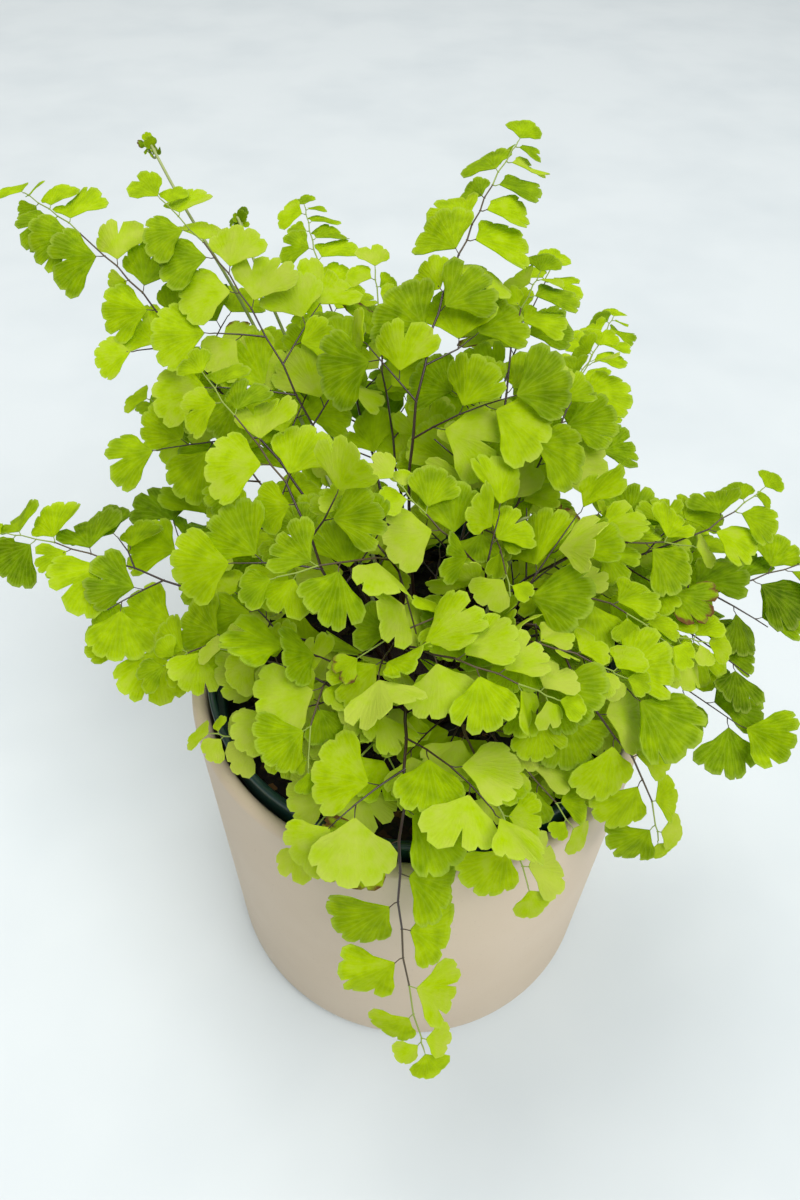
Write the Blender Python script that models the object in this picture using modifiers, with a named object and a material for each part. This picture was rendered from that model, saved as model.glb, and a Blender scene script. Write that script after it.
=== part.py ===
"""Potted maidenhair fern: ceramic cachepot, nursery pot, potting mix, rootstock, fronds and young shoots.

Metres, +Z up.  The origin is the middle of the cachepot's underside, on the surface it stands on.
The front, where one frond hangs over the rim, faces -Y.
"""
import math
import random

import bmesh
import bpy
from mathutils import Vector
from mathutils.bvhtree import BVHTree

MM = 0.001

# ---- driving dimensions, in millimetres --------------------------------------------------
POT_D = 125.0          # cachepot outside diameter
POT_H = 120.0          # cachepot height
POT_WALL = 4.2         # cachepot wall
POT_FLOOR = 6.0        # cachepot floor
LIP_D = 115.2          # nursery pot lip outside diameter
LIP_TOP = 125.0        # top of the nursery pot lip
LIP_H = 10.0           # height of the lip band
NURSERY_WALL = 1.5
NURSERY_FOOT_D = 90.0
SOIL_TOP = 114.0       # surface of the potting mix
CROWN_D = 36.0         # rootstock that the stems grow from
CROWN_H = 4.2
STEM_D = 1.3           # stalk of a grown frond
RACHIS_W = 1.0         # midrib strip of a leaf blade
LEAF_T = 0.7           # thickness of the plain leaf plates
LEAF_L = 17.0          # length of a full-size leaflet with its thread-like foot
LEAF_RATIO = 1.06      # width over length of a leaflet
LEAF_FOOT = 0.2        # share of that length that is bare foot
GAP = 0.35             # clearance between touching pieces

# ---- fronds -------------------------------------------------------------------------------
# name, route of the stalk and midrib from the rootstock to the tip, length of bare stalk as a
# share of the route, longest side branch, share of the blade with side branches, leaflet scale,
# direction that the blade faces
FRONDS = [
    ("front_hanging", [(-2, -9), (-4, -26, 140), (-5, -44, 154), (-5, -57, 155), (-6, -68, 146), (-6, -74, 134),
                       (-5, -79, 121), (-3, -86, 109), (0, -93, 99)], 0.40, 26, 0.36, 1.06, (0, -0.35, 1)),
    ("left_over_rim", [(-11, -6.5), (-15, -23, 134), (-20, -37, 143), (-31, -41, 144), (-41, -39, 141), (-50, -35, 137)],
     0.42, 19, 0.8, 0.92, (0, -0.3, 1)),
    ("left_low", [(-7, -10.5), (-10, -26, 139), (-16, -33, 149), (-25, -31, 153), (-36, -26, 153), (-47, -21, 151)],
     0.46, 18, 0.8, 0.9, (0, -0.4, 1)),
    ("left_long", [(-13, -1), (-28, 1, 127), (-45, 4, 134), (-61, 8, 140), (-74, 11, 144), (-87, 14, 147),
                   (-99, 17, 149), (-111, 20, 149)], 0.32, 39, 0.72, 1.2, (0, -0.25, 1)),
    ("upper_left_long", [(-8, 7), (-24, 20, 148), (-42, 34, 170), (-56, 45, 182), (-66, 54, 191), (-76, 62, 199),
                         (-91, 75, 206), (-108, 90, 209)], 0.36, 34, 0.62, 1.08, (0.1, -0.5, 1)),
    ("upper_left_inner", [(-5, 9), (-18, 24, 150), (-32, 38, 180), (-42, 48, 196), (-52, 58, 207), (-66, 70, 216)],
     0.48, 28, 0.65, 1.08, (0.1, -0.5, 1)),
    ("centre_left", [(-6, -4), (-14, -13, 146), (-20, -20, 168), (-25, -17, 182), (-29, -11, 190), (-35, -4, 195),
                     (-42, 4, 199), (-49, 14, 202)], 0.46, 24, 0.65, 0.98, (-0.1, -0.4, 1)),
    ("tall_back", [(0, 7), (-3, 10, 150), (-4, 14, 178), (-2, 22, 194), (1, 32, 204), (5, 42, 211), (10, 54, 217),
                   (16, 69, 222), (23, 84, 226)], 0.42, 28, 0.45, 1.08, (0, -0.5, 1)),
    ("right_upright", [(6, 3), (12, 5, 142), (18, 7, 163), (18, 11, 176), (18, 19, 187), (19, 29, 195),
                       (22, 42, 201), (28, 56, 205)], 0.48, 26, 0.6, 1.06, (0, -0.5, 1)),
    ("right_back_low", [(9, 9), (22, 30, 138), (36, 58, 150), (46, 78, 156), (54, 91, 159), (60, 103, 161),
                        (65, 114, 161)], 0.34, 26, 0.6, 0.92, (0, -0.1, 1)),
    ("back_far", [(-3, 12), (-12, 40, 152), (-22, 68, 172), (-27, 86, 181), (-32, 104, 188), (-36, 124, 192)],
     0.36, 28, 0.65, 1.0, (0, 0.1, 1)),
    ("right_long", [(13, -2), (28, -1, 126), (46, 1, 133), (64, 4, 137), (77, 8, 140), (89, 12, 142), (101, 16, 143),
                    (113, 20, 142)], 0.34, 40, 0.78, 1.2, (0, -0.3, 1)),
    ("right_front_long", [(7, -6), (13, -14, 144), (18, -20, 160), (26, -26, 165), (31, -36, 162), (36, -43, 157),
                          (43, -46, 149), (48, -48, 141), (52, -51, 132), (55, -54, 122)], 0.36, 30, 0.6, 1.1,
     (0, -0.35, 1)),
    ("centre_front", [(0, -6), (-5, -16, 146), (-8, -28, 162), (-3, -35, 169), (7, -41, 172), (15, -44, 171),
                      (25, -46, 167)], 0.46, 17, 0.7, 1.0, (0, -0.4, 1)),
    ("centre_top", [(-3, -1), (-5, -5, 150), (-7, -13, 171), (-12, -20, 181), (-20, -26, 185), (-31, -29, 184)],
     0.55, 22, 0.8, 1.0, (0, -0.4, 1)),
    ("centre_right", [(4, -2), (11, -6, 145), (14, -11, 165), (8, -12, 175), (0, -9, 182), (-7, -3, 187)],
     0.54, 18, 0.8, 0.98, (0, -0.4, 1)),
    ("right_middle", [(10, 3), (21, 3, 143), (34, 3, 158), (46, 3, 163), (57, 4, 163), (67, 6, 160)],
     0.42, 25, 0.7, 1.08, (0, -0.4, 1)),
    ("right_back", [(8, 6), (17, 12, 148), (27, 22, 168), (35, 32, 179), (40, 42, 185), (45, 52, 187)],
     0.38, 23, 0.7, 1.1, (0, -0.45, 1)),
    ("right_over_rim", [(5, -9.5), (9, -26, 138), (12, -38, 147), (17, -46, 148), (25, -52, 143), (32, -57, 135)],
     0.46, 18, 0.7, 1.0, (0, -0.4, 1)),
    ("right_low", [(11, -4), (26, -9, 142), (42, -14, 151), (56, -16, 152), (68, -15, 148)],
     0.42, 24, 0.65, 1.08, (0, -0.3, 1)),
    ("left_back", [(-10, 4), (-29, 18, 144), (-46, 31, 163), (-60, 41, 170), (-74, 50, 171)],
     0.34, 30, 0.75, 1.08, (0, -0.35, 1)),
    ("left_inner", [(-10, -4), (-24, -9, 138), (-38, -12, 146), (-50, -15, 147), (-62, -18, 142)],
     0.42, 26, 0.75, 1.08, (0, -0.35, 1)),
    ("back_middle", [(-1, 10), (-5, 28, 150), (-10, 45, 177), (-12, 58, 191), (-13, 71, 198)],
     0.38, 27, 0.7, 1.06, (0, -0.45, 1)),
    ("back_right", [(5, 9), (13, 29, 150), (21, 47, 176), (27, 60, 189), (34, 74, 197)],
     0.38, 28, 0.7, 1.06, (0, -0.45, 1)),
    ("front_left_low", [(-4, -12.5), (-7, -31, 137), (-13, -44, 145), (-19, -54, 143), (-26, -62, 136)],
     0.42, 20, 0.7, 1.05, (0, -0.3, 1)),
    ("front_right_low", [(1.5, -12.5), (4, -30, 141), (8, -43, 151), (12, -55, 150), (17, -64, 144), (21, -71, 135)],
     0.42, 20, 0.7, 1.05, (0, -0.3, 1)),
]


# ---- growth: where every stalk, side branch and leaflet lies ---------------------------------
class Path:
    """Smooth curve through a few points, read by distance along it."""

    def __init__(self, points):
        p = [Vector(q) for q in points]
        p = [2 * p[0] - p[1]] + p + [2 * p[-1] - p[-2]]
        self.pts = []
        for a, b, c, d in zip(p, p[1:], p[2:], p[3:]):
            for k in range(10):
                t = k / 10
                self.pts.append(0.5 * (2 * b + (c - a) * t + (2 * a - 5 * b + 4 * c - d) * t * t
                                       + (3 * b - 3 * c + d - a) * t ** 3))
        self.pts.append(p[-2])
        self.run = [0.0]
        for a, b in zip(self.pts, self.pts[1:]):
            self.run.append(self.run[-1] + (b - a).length)
        self.length = self.run[-1]

    def at(self, s):
        s = min(max(s, 0.0), self.length)
        k = 0
        while k < len(self.run) - 2 and self.run[k + 1] < s:
            k += 1
        f = (s - self.run[k]) / (self.run[k + 1] - self.run[k])
        return self.pts[k].lerp(self.pts[k + 1], f)

    def way(self, s):
        return (self.at(s + 2.0) - self.at(s - 2.0)).normalized()


def square_to(v, axis):
    """The part of v at right angles to axis, as a unit vector."""
    return (v - axis * v.dot(axis)).normalized()


class Room:
    """Keeps the thin blocks already placed, and says whether a new one is clear of them."""

    def __init__(self):
        self.blocks = []

    @staticmethod
    def slab(outline, normal, half):
        n = len(outline)
        pts = [p + normal * half for p in outline] + [p - normal * half for p in outline]
        faces = [tuple(range(n)), tuple(reversed(range(n, 2 * n)))]
        faces += [(k, n + k, n + (k + 1) % n, (k + 1) % n) for k in range(n)]
        lo = Vector([min(p[i] for p in pts) for i in range(3)])
        hi = Vector([max(p[i] for p in pts) for i in range(3)])
        return lo, hi, BVHTree.FromPolygons(pts, faces)

    def clear(self, block, but=()):
        """True if the block meets none of the others, leaving out those listed in but."""
        lo, hi, tree = block
        for other in self.blocks:
            l2, h2, t2 = other
            if any(other is b for b in but):
                continue
            if all(lo[i] <= h2[i] and l2[i] <= hi[i] for i in range(3)) and tree.overlap(t2):
                return False
        return True

    def add(self, block):
        self.blocks.append(block)


def stem_slabs(path, s0, s1, half, step=5.0):
    """Square-section blocks along a stretch of a path."""
    n = max(1, round((s1 - s0) / step))
    out = []
    for k in range(n):
        a, b = path.at(s0 + (s1 - s0) * k / n), path.at(s0 + (s1 - s0) * (k + 1) / n)
        t = (b - a).normalized()
        side = square_to(Vector((0, 0, 1)) if abs(t.z) < 0.9 else Vector((1, 0, 0)), t)
        w = t.cross(side) * half
        out.append(Room.slab([a - w, b - w, b + w, a + w], side, half))
    return out


def hanging(t):
    """How steeply a midrib points down, from 0 to 0.7."""
    return max(0.0, -t.z - 0.3)


def leaf_outline(base, d, v, length, width, lead, skew, foot):
    """Outline of a fan-shaped leaflet that starts foot millimetres wide."""
    waist = base + d * (lead + (length - lead) * 0.55)
    end = base + d * length
    start = [base + d * 0.9 - v * foot] if foot else [base + d * lead]
    back = [base + d * 0.9 + v * foot] if foot else []
    return start + [waist - v * width * (0.5 + skew), end - v * width * (0.28 + skew), end + v * width * (0.28 - skew),
                    waist + v * width * (0.5 - skew)] + back


def grow_leaf(room, rng, own, base, t, side, normal, length, width, alpha, tile=0.0):
    """Try poses of one leaflet until it is clear of everything placed before it."""
    s = t.cross(normal)
    roll0, pitch0 = tile + rng.uniform(-9, 9), rng.uniform(-18, 2)
    for k in range(26):
        spread = 7.0 + 1.7 * k
        roll = roll0 + (rng.uniform(-spread, spread) if k else 0.0)
        pitch = pitch0 + (rng.uniform(-spread, spread) * 0.8 if k else 0.0)
        turn = alpha + (rng.uniform(-1, 1) * 0.5 * spread if side and k else 0.0)
        size = 1.0 - 0.012 * k
        if side:
            d = t * math.cos(math.radians(turn)) + s * side * math.sin(math.radians(turn))
        else:
            d = t.copy()
        light = square_to(normal + Vector((0, -0.1, 0.45 + 0.5 * hanging(t))), d)
        d = (d + light * math.tan(math.radians(max(-48.0, min(48.0, pitch))))).normalized()
        n = square_to(light, d)
        v = n.cross(d)
        n = (n * math.cos(math.radians(roll)) + v * math.sin(math.radians(roll))).normalized()
        v = n.cross(d)
        if side and v.dot(t) < 0 or not side and v.dot(s) < 0:
            v = -v
        skew = 0.05 if side else 0.0
        ln, wd = length * size, width * size
        lead = ln * LEAF_FOOT
        block = Room.slab(leaf_outline(base, d, v, ln, wd, lead, skew, 1.2), n, 0.52)
        inner = Room.slab(leaf_outline(base, d, v, ln, wd, lead, skew, 0), n, 0.44)
        if room.clear(block, own) and all(not inner[2].overlap(b[2]) for b in own):
            room.add(block)
            return dict(base=base.copy(), d=d, v=v, n=n, length=ln, width=wd, side=side, skew=skew, lead=lead)
    return None


def grow_branch(room, rng, own, base, t, side, normal, reach, size):
    """A side branch with its own leaflets, on the side of a midrib."""
    s = t.cross(normal) * side
    for k in range(10):
        spread = 3.0 + 4.0 * k
        alpha = math.radians(54 + rng.uniform(-6, 6))
        lift = math.radians(rng.uniform(-4, 4) + rng.uniform(-spread, spread))
        bend = rng.uniform(-0.08, 0.30)
        d = t * math.cos(alpha) + s * math.sin(alpha)
        d = (d * math.cos(lift) + normal * math.sin(lift)).normalized()
        inward = square_to(t, d)
        length = reach * (1 - 0.035 * k)
        pts = [base + d * (length * u) + inward * (length * bend * u * u) - Vector((0, 0, 1)) * (length * 0.10 * u * u)
               for u in (0.0, 0.25, 0.5, 0.75, 1.0)]
        path = Path(pts)
        blocks = stem_slabs(path, 1.9, path.length, 0.75, 4.0)
        if all(room.clear(b) for b in blocks):
            blocks += stem_slabs(path, 0.6, 1.9, 0.75, 4.0)
            break
    else:
        return None
    for b in blocks:
        room.add(b)
    n0 = square_to(normal + Vector((0, -0.1, 0.2)), d)
    branch = dict(path=path, face=n0, spots=[])
    where = rng.uniform(5.4, 6.6)
    turn = rng.choice((-1, 1))
    while where < path.length - 2.6:
        bt = path.way(where)
        bn = square_to(n0, bt)
        u = where / path.length
        ln = LEAF_L * size * (1.0 - 0.18 * u) * rng.uniform(0.84, 1.08)
        leaf = grow_leaf(room, rng, blocks, path.at(where), bt, turn, bn, ln, ln * LEAF_RATIO * rng.uniform(0.92, 1.08),
                         47 + rng.uniform(-8, 8), 13.0)
        if leaf:
            branch["spots"].append((where, turn, leaf, None))
        where += rng.uniform(5.7, 6.7) * (0.6 + 0.4 * size) * (1.0 if leaf else 0.5)
        turn = -turn
    bt = path.way(path.length)
    ln = LEAF_L * size * rng.uniform(0.84, 1.0)
    branch["end"] = grow_leaf(room, rng, blocks, path.at(path.length), bt, 0, square_to(n0, bt), ln, ln * 1.08, 0)
    return branch


def shoot_path(route):
    return Path([foot(*route[0])] + route[1:])


def foot(x, y):
    """A point just above the rootstock, where a stalk starts."""
    return x, y, SOIL_TOP + GAP + CROWN_H * (1 - (2 * math.hypot(x, y) / CROWN_D) ** 2) + 0.5


def grow_plant():
    """Every frond as its stalk, midrib, side branches and leaflets, all clear of each other."""
    room = Room()
    for r0, r1, top, low in ((LIP_D / 2 - 3, LIP_D / 2 + 0.4, LIP_TOP + 0.5, SOIL_TOP - 6),
                             (LIP_D / 2, POT_D / 2 + 0.5, POT_H + 0.5, 60.0)):
        for k in range(36):
            a, b = math.tau * k / 36, math.tau * (k + 1) / 36
            ring = [Vector((r * math.cos(q), r * math.sin(q), (top + low) / 2)) for r, q in
                    ((r0, a), (r1, a), (r1, b), (r0, b))]
            room.add(Room.slab(ring, Vector((0, 0, 1)), (top - low) / 2))
    room.add(Room.slab([Vector((54 * math.cos(q), 54 * math.sin(q), SOIL_TOP)) for q in
                        (math.tau * k / 24 for k in range(24))], Vector((0, 0, 1)), 0.4))
    plant = []
    for name, route, bare, reach, share, scale, face in FRONDS:
        path = Path([foot(*route[0])] + route[1:])
        start = path.length * bare
        for b in stem_slabs(path, 0.0, path.length, 0.95):
            if not room.clear(b):
                print("crossing stalk:", name, [round(c) for c in b[0]])
        own = stem_slabs(path, 0.0, path.length, 0.80)
        room.blocks += own
        plant.append(dict(name=name, path=path, start=start, face=Vector(face).normalized(), spots=[], own=own))
    for name, route, curl in SHOOTS:
        path = shoot_path(route)
        blocks = stem_slabs(path, 0.0, path.length, 0.85)
        for b in blocks:
            if not room.clear(b):
                print("crossing shoot:", name, [round(c) for c in b[0]])
        for b in blocks:
            room.add(b)
        tip = path.pts[-1]
        out = square_to(Vector((tip.x, tip.y, 0)), path.way(path.length))
        corner = out.cross(path.way(path.length)) * (curl + 1)
        room.add(Room.slab([tip - corner * 0.5, tip - corner * 0.5 + out * (2 * curl + 1),
                            tip + corner + out * (2 * curl + 1), tip + corner], path.way(path.length), curl + 1))
    for (name, route, bare, reach, share, scale, face), frond in zip(FRONDS, plant):
        rng = random.Random(name)
        path, start, own = frond["path"], frond["start"], frond["own"]
        blade = path.length - start
        ends = path.way(path.length)
        ln = LEAF_L * scale * 0.52
        frond["end"] = grow_leaf(room, rng, own, path.at(path.length), ends, 0, square_to(frond["face"], ends), ln,
                                 ln, 0)
        where, side = start + 2.0, rng.choice((-1, 1))
        while where < path.length - 2.4:
            u = (where - start) / blade
            t = path.way(where)
            n = square_to(frond["face"], t)
            far = reach * (1 - u / share) * rng.uniform(0.85, 1.1) if u < share else 0.0
            size = scale * (1 - 0.42 * u ** 1.6)
            branch = leaf = None
            if far > 10.5:
                branch = grow_branch(room, rng, own, path.at(where), t, side, n, max(far, 13.0), size)
            if branch is None:
                ln = LEAF_L * size * rng.uniform(0.90, 1.08)
                leaf = grow_leaf(room, rng, own, path.at(where), t, side, n, ln, ln * LEAF_RATIO * rng.uniform(0.95, 1.06),
                                 50 + 12 * hanging(t) + rng.uniform(-6, 6), 13.0)
            if branch or leaf:
                frond["spots"].append((where, side, leaf, branch))
            step = 7.8 if branch else 5.6
            where += step * (1 - 0.26 * u) * (0.5 + 0.5 * scale) * (1 + 1.0 * hanging(t)) * rng.uniform(0.92, 1.08)
            side = -side
    return plant


# ---- solids ----------------------------------------------------------------------------------
def wipe():
    for ob in list(bpy.data.objects):
        bpy.data.objects.remove(ob, do_unlink=True)
    for group in list(bpy.data.collections):
        bpy.data.collections.remove(group)


def paint(name, colour, rough):
    m = bpy.data.materials.new(name)
    m.use_nodes = True
    b = m.node_tree.nodes["Principled BSDF"]
    b.inputs["Base Color"].default_value = (*colour, 1.0)
    b.inputs["Roughness"].default_value = rough
    b.inputs["Metallic"].default_value = 0.0
    m.diffuse_color = (*colour, 1.0)
    return m


def place(name, data, material, group):
    ob = bpy.data.objects.new(name, data)
    ob.data.materials.append(material)
    group.objects.link(ob)
    return ob


def turned(name, profile, material, group, steps=48):
    """Turn a closed profile, given down its outer side in millimetres, about Z."""
    me = bpy.data.meshes.new(name)
    bm = bmesh.new()
    vs = [bm.verts.new((r * MM, 0, z * MM)) for r, z in profile]
    for a, b in zip(vs, vs[1:]):
        bm.edges.new((a, b))
    if profile[0][0] > 0:
        bm.edges.new((vs[-1], vs[0]))
    bm.to_mesh(me)
    bm.free()
    ob = place(name, me, material, group)
    m = ob.modifiers.new("Turn", "SCREW")
    m.axis = "Z"
    m.angle = math.tau
    m.steps = m.render_steps = steps
    m.use_merge_vertices = True
    m.merge_threshold = 1e-5
    m.use_smooth_shade = True
    return ob


def tube(name, points, radius, material, group):
    """Round stalk through points in millimetres."""
    cu = bpy.data.curves.new(name, "CURVE")
    cu.dimensions = "3D"
    cu.bevel_depth = radius * MM
    cu.bevel_resolution = 1
    cu.use_fill_caps = True
    sp = cu.splines.new("POLY")
    sp.points.add(len(points) - 1)
    for q, p in zip(sp.points, points):
        q.co = (p[0] * MM, p[1] * MM, p[2] * MM, 1.0)
    return place(name, cu, material, group)


def pull(bm, a, b, to_a, to_b):
    """Extrude the edge a-b so that its copy lies at to_a, to_b."""
    edge = bm.edges.get((a, b))
    made = bmesh.ops.extrude_edge_only(bm, edges=[edge])["geom"]
    new = [g for g in made if isinstance(g, bmesh.types.BMVert)]
    na = next(v for v in new if any(e.other_vert(v) is a for e in v.link_edges))
    nb = next(v for v in new if v is not na)
    na.co, nb.co = to_a * MM, to_b * MM
    return na, nb


def sheet_leaf(bm, a, b, leaf):
    """Two plates, widening and then narrowing, from the edge a-b; a is on the -v side."""
    d, v, w, k = leaf["d"], leaf["v"], leaf["width"], leaf["skew"]
    waist = leaf["base"] + d * (leaf["lead"] + (leaf["length"] - leaf["lead"]) * 0.55)
    end = leaf["base"] + d * leaf["length"]
    if leaf["length"] > 9.5:
        a, b = pull(bm, a, b, waist - v * w * (0.5 + k), waist + v * w * (0.5 - k))
        pull(bm, a, b, end - v * w * (0.28 + k), end + v * w * (0.28 - k))
    else:
        pull(bm, a, b, end - v * w * (0.42 + k), end + v * w * (0.42 - k))


def sheet_strip(bm, left, right, path, s0, s1, face, spots, end, half):
    """A midrib or branch strip from the edge left-right, and all that grows on its sides."""
    for where, side, leaf, branch in spots + [(s1, 0, None, None)]:
        for s in ((where - 0.5, where + 0.5) if side else (s1,)):
            p, t = path.at(s), path.way(s)
            out = t.cross(square_to(face, t)) * half
            nl, nr = pull(bm, left, right, p - out, p + out)
            if side and s > where:
                near, far = (right, nr) if side > 0 else (left, nl)
                if leaf:
                    sheet_leaf(bm, near, far, leaf)
                else:
                    l2, r2 = (far, near) if side > 0 else (near, far)
                    sheet_strip(bm, l2, r2, branch["path"], 0.0, branch["path"].length, branch["face"],
                                branch["spots"], branch["end"], half * 0.9)
            left, right = nl, nr
    if end:
        sheet_leaf(bm, left, right, end)


def blade(frond, material, group):
    """One frond's leafy part as a single sheet, thickened to a solid."""
    me = bpy.data.meshes.new(frond["name"] + "_blade")
    bm = bmesh.new()
    path, s0, half = frond["path"], frond["start"], RACHIS_W / 2
    p, t = path.at(s0), path.way(s0)
    out = t.cross(square_to(frond["face"], t)) * half
    left, right = bm.verts.new((p - out) * MM), bm.verts.new((p + out) * MM)
    bm.edges.new((left, right))
    sheet_strip(bm, left, right, path, s0, path.length, frond["face"], frond["spots"], frond["end"], half)
    bmesh.ops.recalc_face_normals(bm, faces=bm.faces)
    bm.to_mesh(me)
    bm.free()
    ob = place(frond["name"] + "_blade", me, material, group)
    m = ob.modifiers.new("Thickness", "SOLIDIFY")
    m.thickness = LEAF_T * MM
    m.offset = 0.0
    m.use_rim = True
    return ob


def build_pots(group):
    """The ceramic outer pot, the plastic nursery pot standing in it, and its filling."""
    r, h, w, f = POT_D / 2, POT_H, POT_WALL, POT_FLOOR
    ceramic = paint("Matte_Beige_Ceramic", (0.60, 0.50, 0.40), 0.62)
    turned("cachepot", [(0, f), (r - w - 3, f), (r - w - 0.9, f + 0.9), (r - w, f + 3), (r - w, h - 1.6),
                        (r - w + 0.6, h - 0.5), (r - w / 2, h), (r - 0.6, h - 0.5), (r, h - 1.6), (r, 5), (r - 1.4, 1.6),
                        (r - 5, 0), (0, 0)], ceramic, group, 48)
    plastic = paint("Dark_Green_Plastic", (0.012, 0.055, 0.042), 0.38)
    lr, lt, lh, nw = LIP_D / 2, LIP_TOP, LIP_H, NURSERY_WALL
    foot = NURSERY_FOOT_D / 2
    low = f + GAP
    neck = lr - 2.2
    turned("nursery_pot", [(0, low + nw), (foot - nw - 1, low + nw), (foot - nw, low + nw + 1), (neck - nw, lt - lh + 1.5),
                           (lr - nw, lt - lh + 3), (lr - nw, lt - 0.6), (lr - nw / 2, lt), (lr, lt - 0.6),
                           (lr, lt - lh), (neck, lt - lh), (foot, low + 1), (foot - 1, low), (0, low)],
           plastic, group, 48)
    mix = paint("Potting_Mix", (0.035, 0.022, 0.014), 0.95)

    def inner(z):
        z0, z1 = low + nw + 1, lt - lh + 1.5
        return foot - nw + (neck - foot) * (z - z0) / (z1 - z0)
    top, base = SOIL_TOP, low + nw + GAP
    turned("potting_mix", [(0, top), (inner(top) - 3.0, top), (inner(top) - GAP, top - 1.6),
                           (inner(base + 1.6) - GAP, base + 1.6), (foot - nw - 2.2, base), (0, base)], mix, group, 40)
    root = paint("Rootstock_Brown", (0.06, 0.035, 0.02), 0.9)
    c, z = CROWN_D / 2, SOIL_TOP + GAP
    turned("rootstock", [(0, z + CROWN_H)] + [(c * k / 6, z + CROWN_H * (1 - (k / 6) ** 2)) for k in range(1, 6)]
           + [(c, z + 0.3), (c - 0.6, z), (0, z)], root, group, 28)


def build_shoots(group):
    """Three young shoots, each a bare stalk that ends in a tight curl."""
    green = paint("Young_Shoot_Green", (0.20, 0.22, 0.05), 0.6)
    for name, route, curl in SHOOTS:
        path = shoot_path(route)
        n = max(6, round(path.length / 12))
        pts = [path.at(path.length * k / n) for k in range(n + 1)]
        t, tip = path.way(path.length), pts[-1]
        out = square_to(Vector((tip.x, tip.y, 0)), t)
        for k in range(1, 11):
            a = k / 10 * math.radians(380)
            r = curl * (1 - 0.52 * k / 10)
            pts.append(tip + out * (curl - r * math.cos(a)) + t * (r * math.sin(a)) + out.cross(t) * (0.15 * k))
        tube(name, pts, 0.55, green, group)


SHOOTS = [
    ("shoot_left", [(-9, 10), (-24, 34, 152), (-46, 62, 188), (-63, 82, 208), (-72, 93, 220)], 2.2),
    ("shoot_back", [(-6, 13), (-22, 40, 158), (-40, 64, 190), (-49, 79, 207)], 2.0),
    ("shoot_right", [(13.5, 6.5), (21, 12, 138), (24, 13, 152), (23, 10, 163)], 2.1),
]


def main():
    wipe()
    group = bpy.data.collections.new("potted_maidenhair_fern")
    bpy.context.scene.collection.children.link(group)
    build_pots(group)
    stalk = paint("Dark_Stalk", (0.018, 0.010, 0.008), 0.35)
    leaf = paint("Fern_Green", (0.30, 0.50, 0.04), 0.5)
    count = 0
    for frond in grow_plant():
        path = frond["path"]
        last = frond["start"] - GAP
        n = max(5, round(last / 10))
        tube(frond["name"] + "_stalk", [path.at(last * k / n) for k in range(n + 1)], STEM_D / 2, stalk, group)
        blade(frond, leaf, group)
        leaves = sum(1 for s in frond["spots"] if s[2]) + (frond["end"] is not None)
        leaves += sum(len(s[3]["spots"]) + (s[3]["end"] is not None) for s in frond["spots"] if s[3])
        count += leaves
        print(frond["name"], "leaflets", leaves, "branches", sum(1 for s in frond["spots"] if s[3]))
    print("leaflets", count)
    build_shoots(group)


main()
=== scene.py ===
"""Potted maidenhair fern, at rest on a pale floor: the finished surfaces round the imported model.

Metres, +Z up.  The front, where one frond hangs over the rim, faces -Y.
"""
import math
import random

import bmesh
import bpy
from mathutils import Matrix, Vector, noise
from mathutils.bvhtree import BVHTree


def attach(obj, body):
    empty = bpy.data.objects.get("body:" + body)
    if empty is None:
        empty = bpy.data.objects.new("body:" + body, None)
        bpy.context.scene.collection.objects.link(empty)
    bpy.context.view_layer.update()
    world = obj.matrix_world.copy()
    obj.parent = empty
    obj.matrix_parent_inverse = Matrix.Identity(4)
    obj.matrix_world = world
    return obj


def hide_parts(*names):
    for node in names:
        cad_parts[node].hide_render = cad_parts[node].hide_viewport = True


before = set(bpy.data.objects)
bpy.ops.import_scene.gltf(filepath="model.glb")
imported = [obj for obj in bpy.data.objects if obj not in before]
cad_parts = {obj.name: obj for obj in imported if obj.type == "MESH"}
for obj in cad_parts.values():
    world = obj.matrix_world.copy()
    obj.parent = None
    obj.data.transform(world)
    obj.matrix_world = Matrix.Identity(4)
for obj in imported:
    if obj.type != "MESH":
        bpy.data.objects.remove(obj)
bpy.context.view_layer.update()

MM = 0.001

# ---- Camera -------------------------------------------------------------------------------------
# A short lens held a forearm above the leaves, looking down at the front of the pot.
CAMERA_AT = Vector((-0.00861, -0.14936, 0.30921))
CAMERA_DOWN = math.radians(47.58)
CAMERA_RIGHT = math.radians(1.07)
CAMERA_ROLL = math.radians(1.27)
LENS_MM, SENSOR_MM = 26.01, 36.0
NEAREST = 0.01

sight = Vector((math.sin(CAMERA_RIGHT) * math.cos(CAMERA_DOWN), math.cos(CAMERA_RIGHT) * math.cos(CAMERA_DOWN),
                -math.sin(CAMERA_DOWN)))
level = sight.cross(Vector((0, 0, 1))).normalized()
upward = level.cross(sight)
right = level * math.cos(CAMERA_ROLL) + upward * math.sin(CAMERA_ROLL)
upward = upward * math.cos(CAMERA_ROLL) - level * math.sin(CAMERA_ROLL)
lens = bpy.data.cameras.new("camera")
lens.lens, lens.sensor_width = LENS_MM, SENSOR_MM
lens.clip_start = NEAREST
camera = bpy.data.objects.new("camera", lens)
camera.matrix_world = Matrix((right, upward, -sight)).transposed().to_4x4()
camera.location = CAMERA_AT
bpy.context.scene.collection.objects.link(camera)
bpy.context.scene.camera = camera


# ---- Light --------------------------------------------------------------------------------------
# A bright room: a wide soft window light from high at the back left, a stronger one from the front right, and pale
# walls all round.
LIT_AT = Vector((0, 0, 0.12))
PANEL = 1.5
SKY, SKY_STRENGTH = (0.93, 0.965, 1.0, 1.0), 0.41


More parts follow.
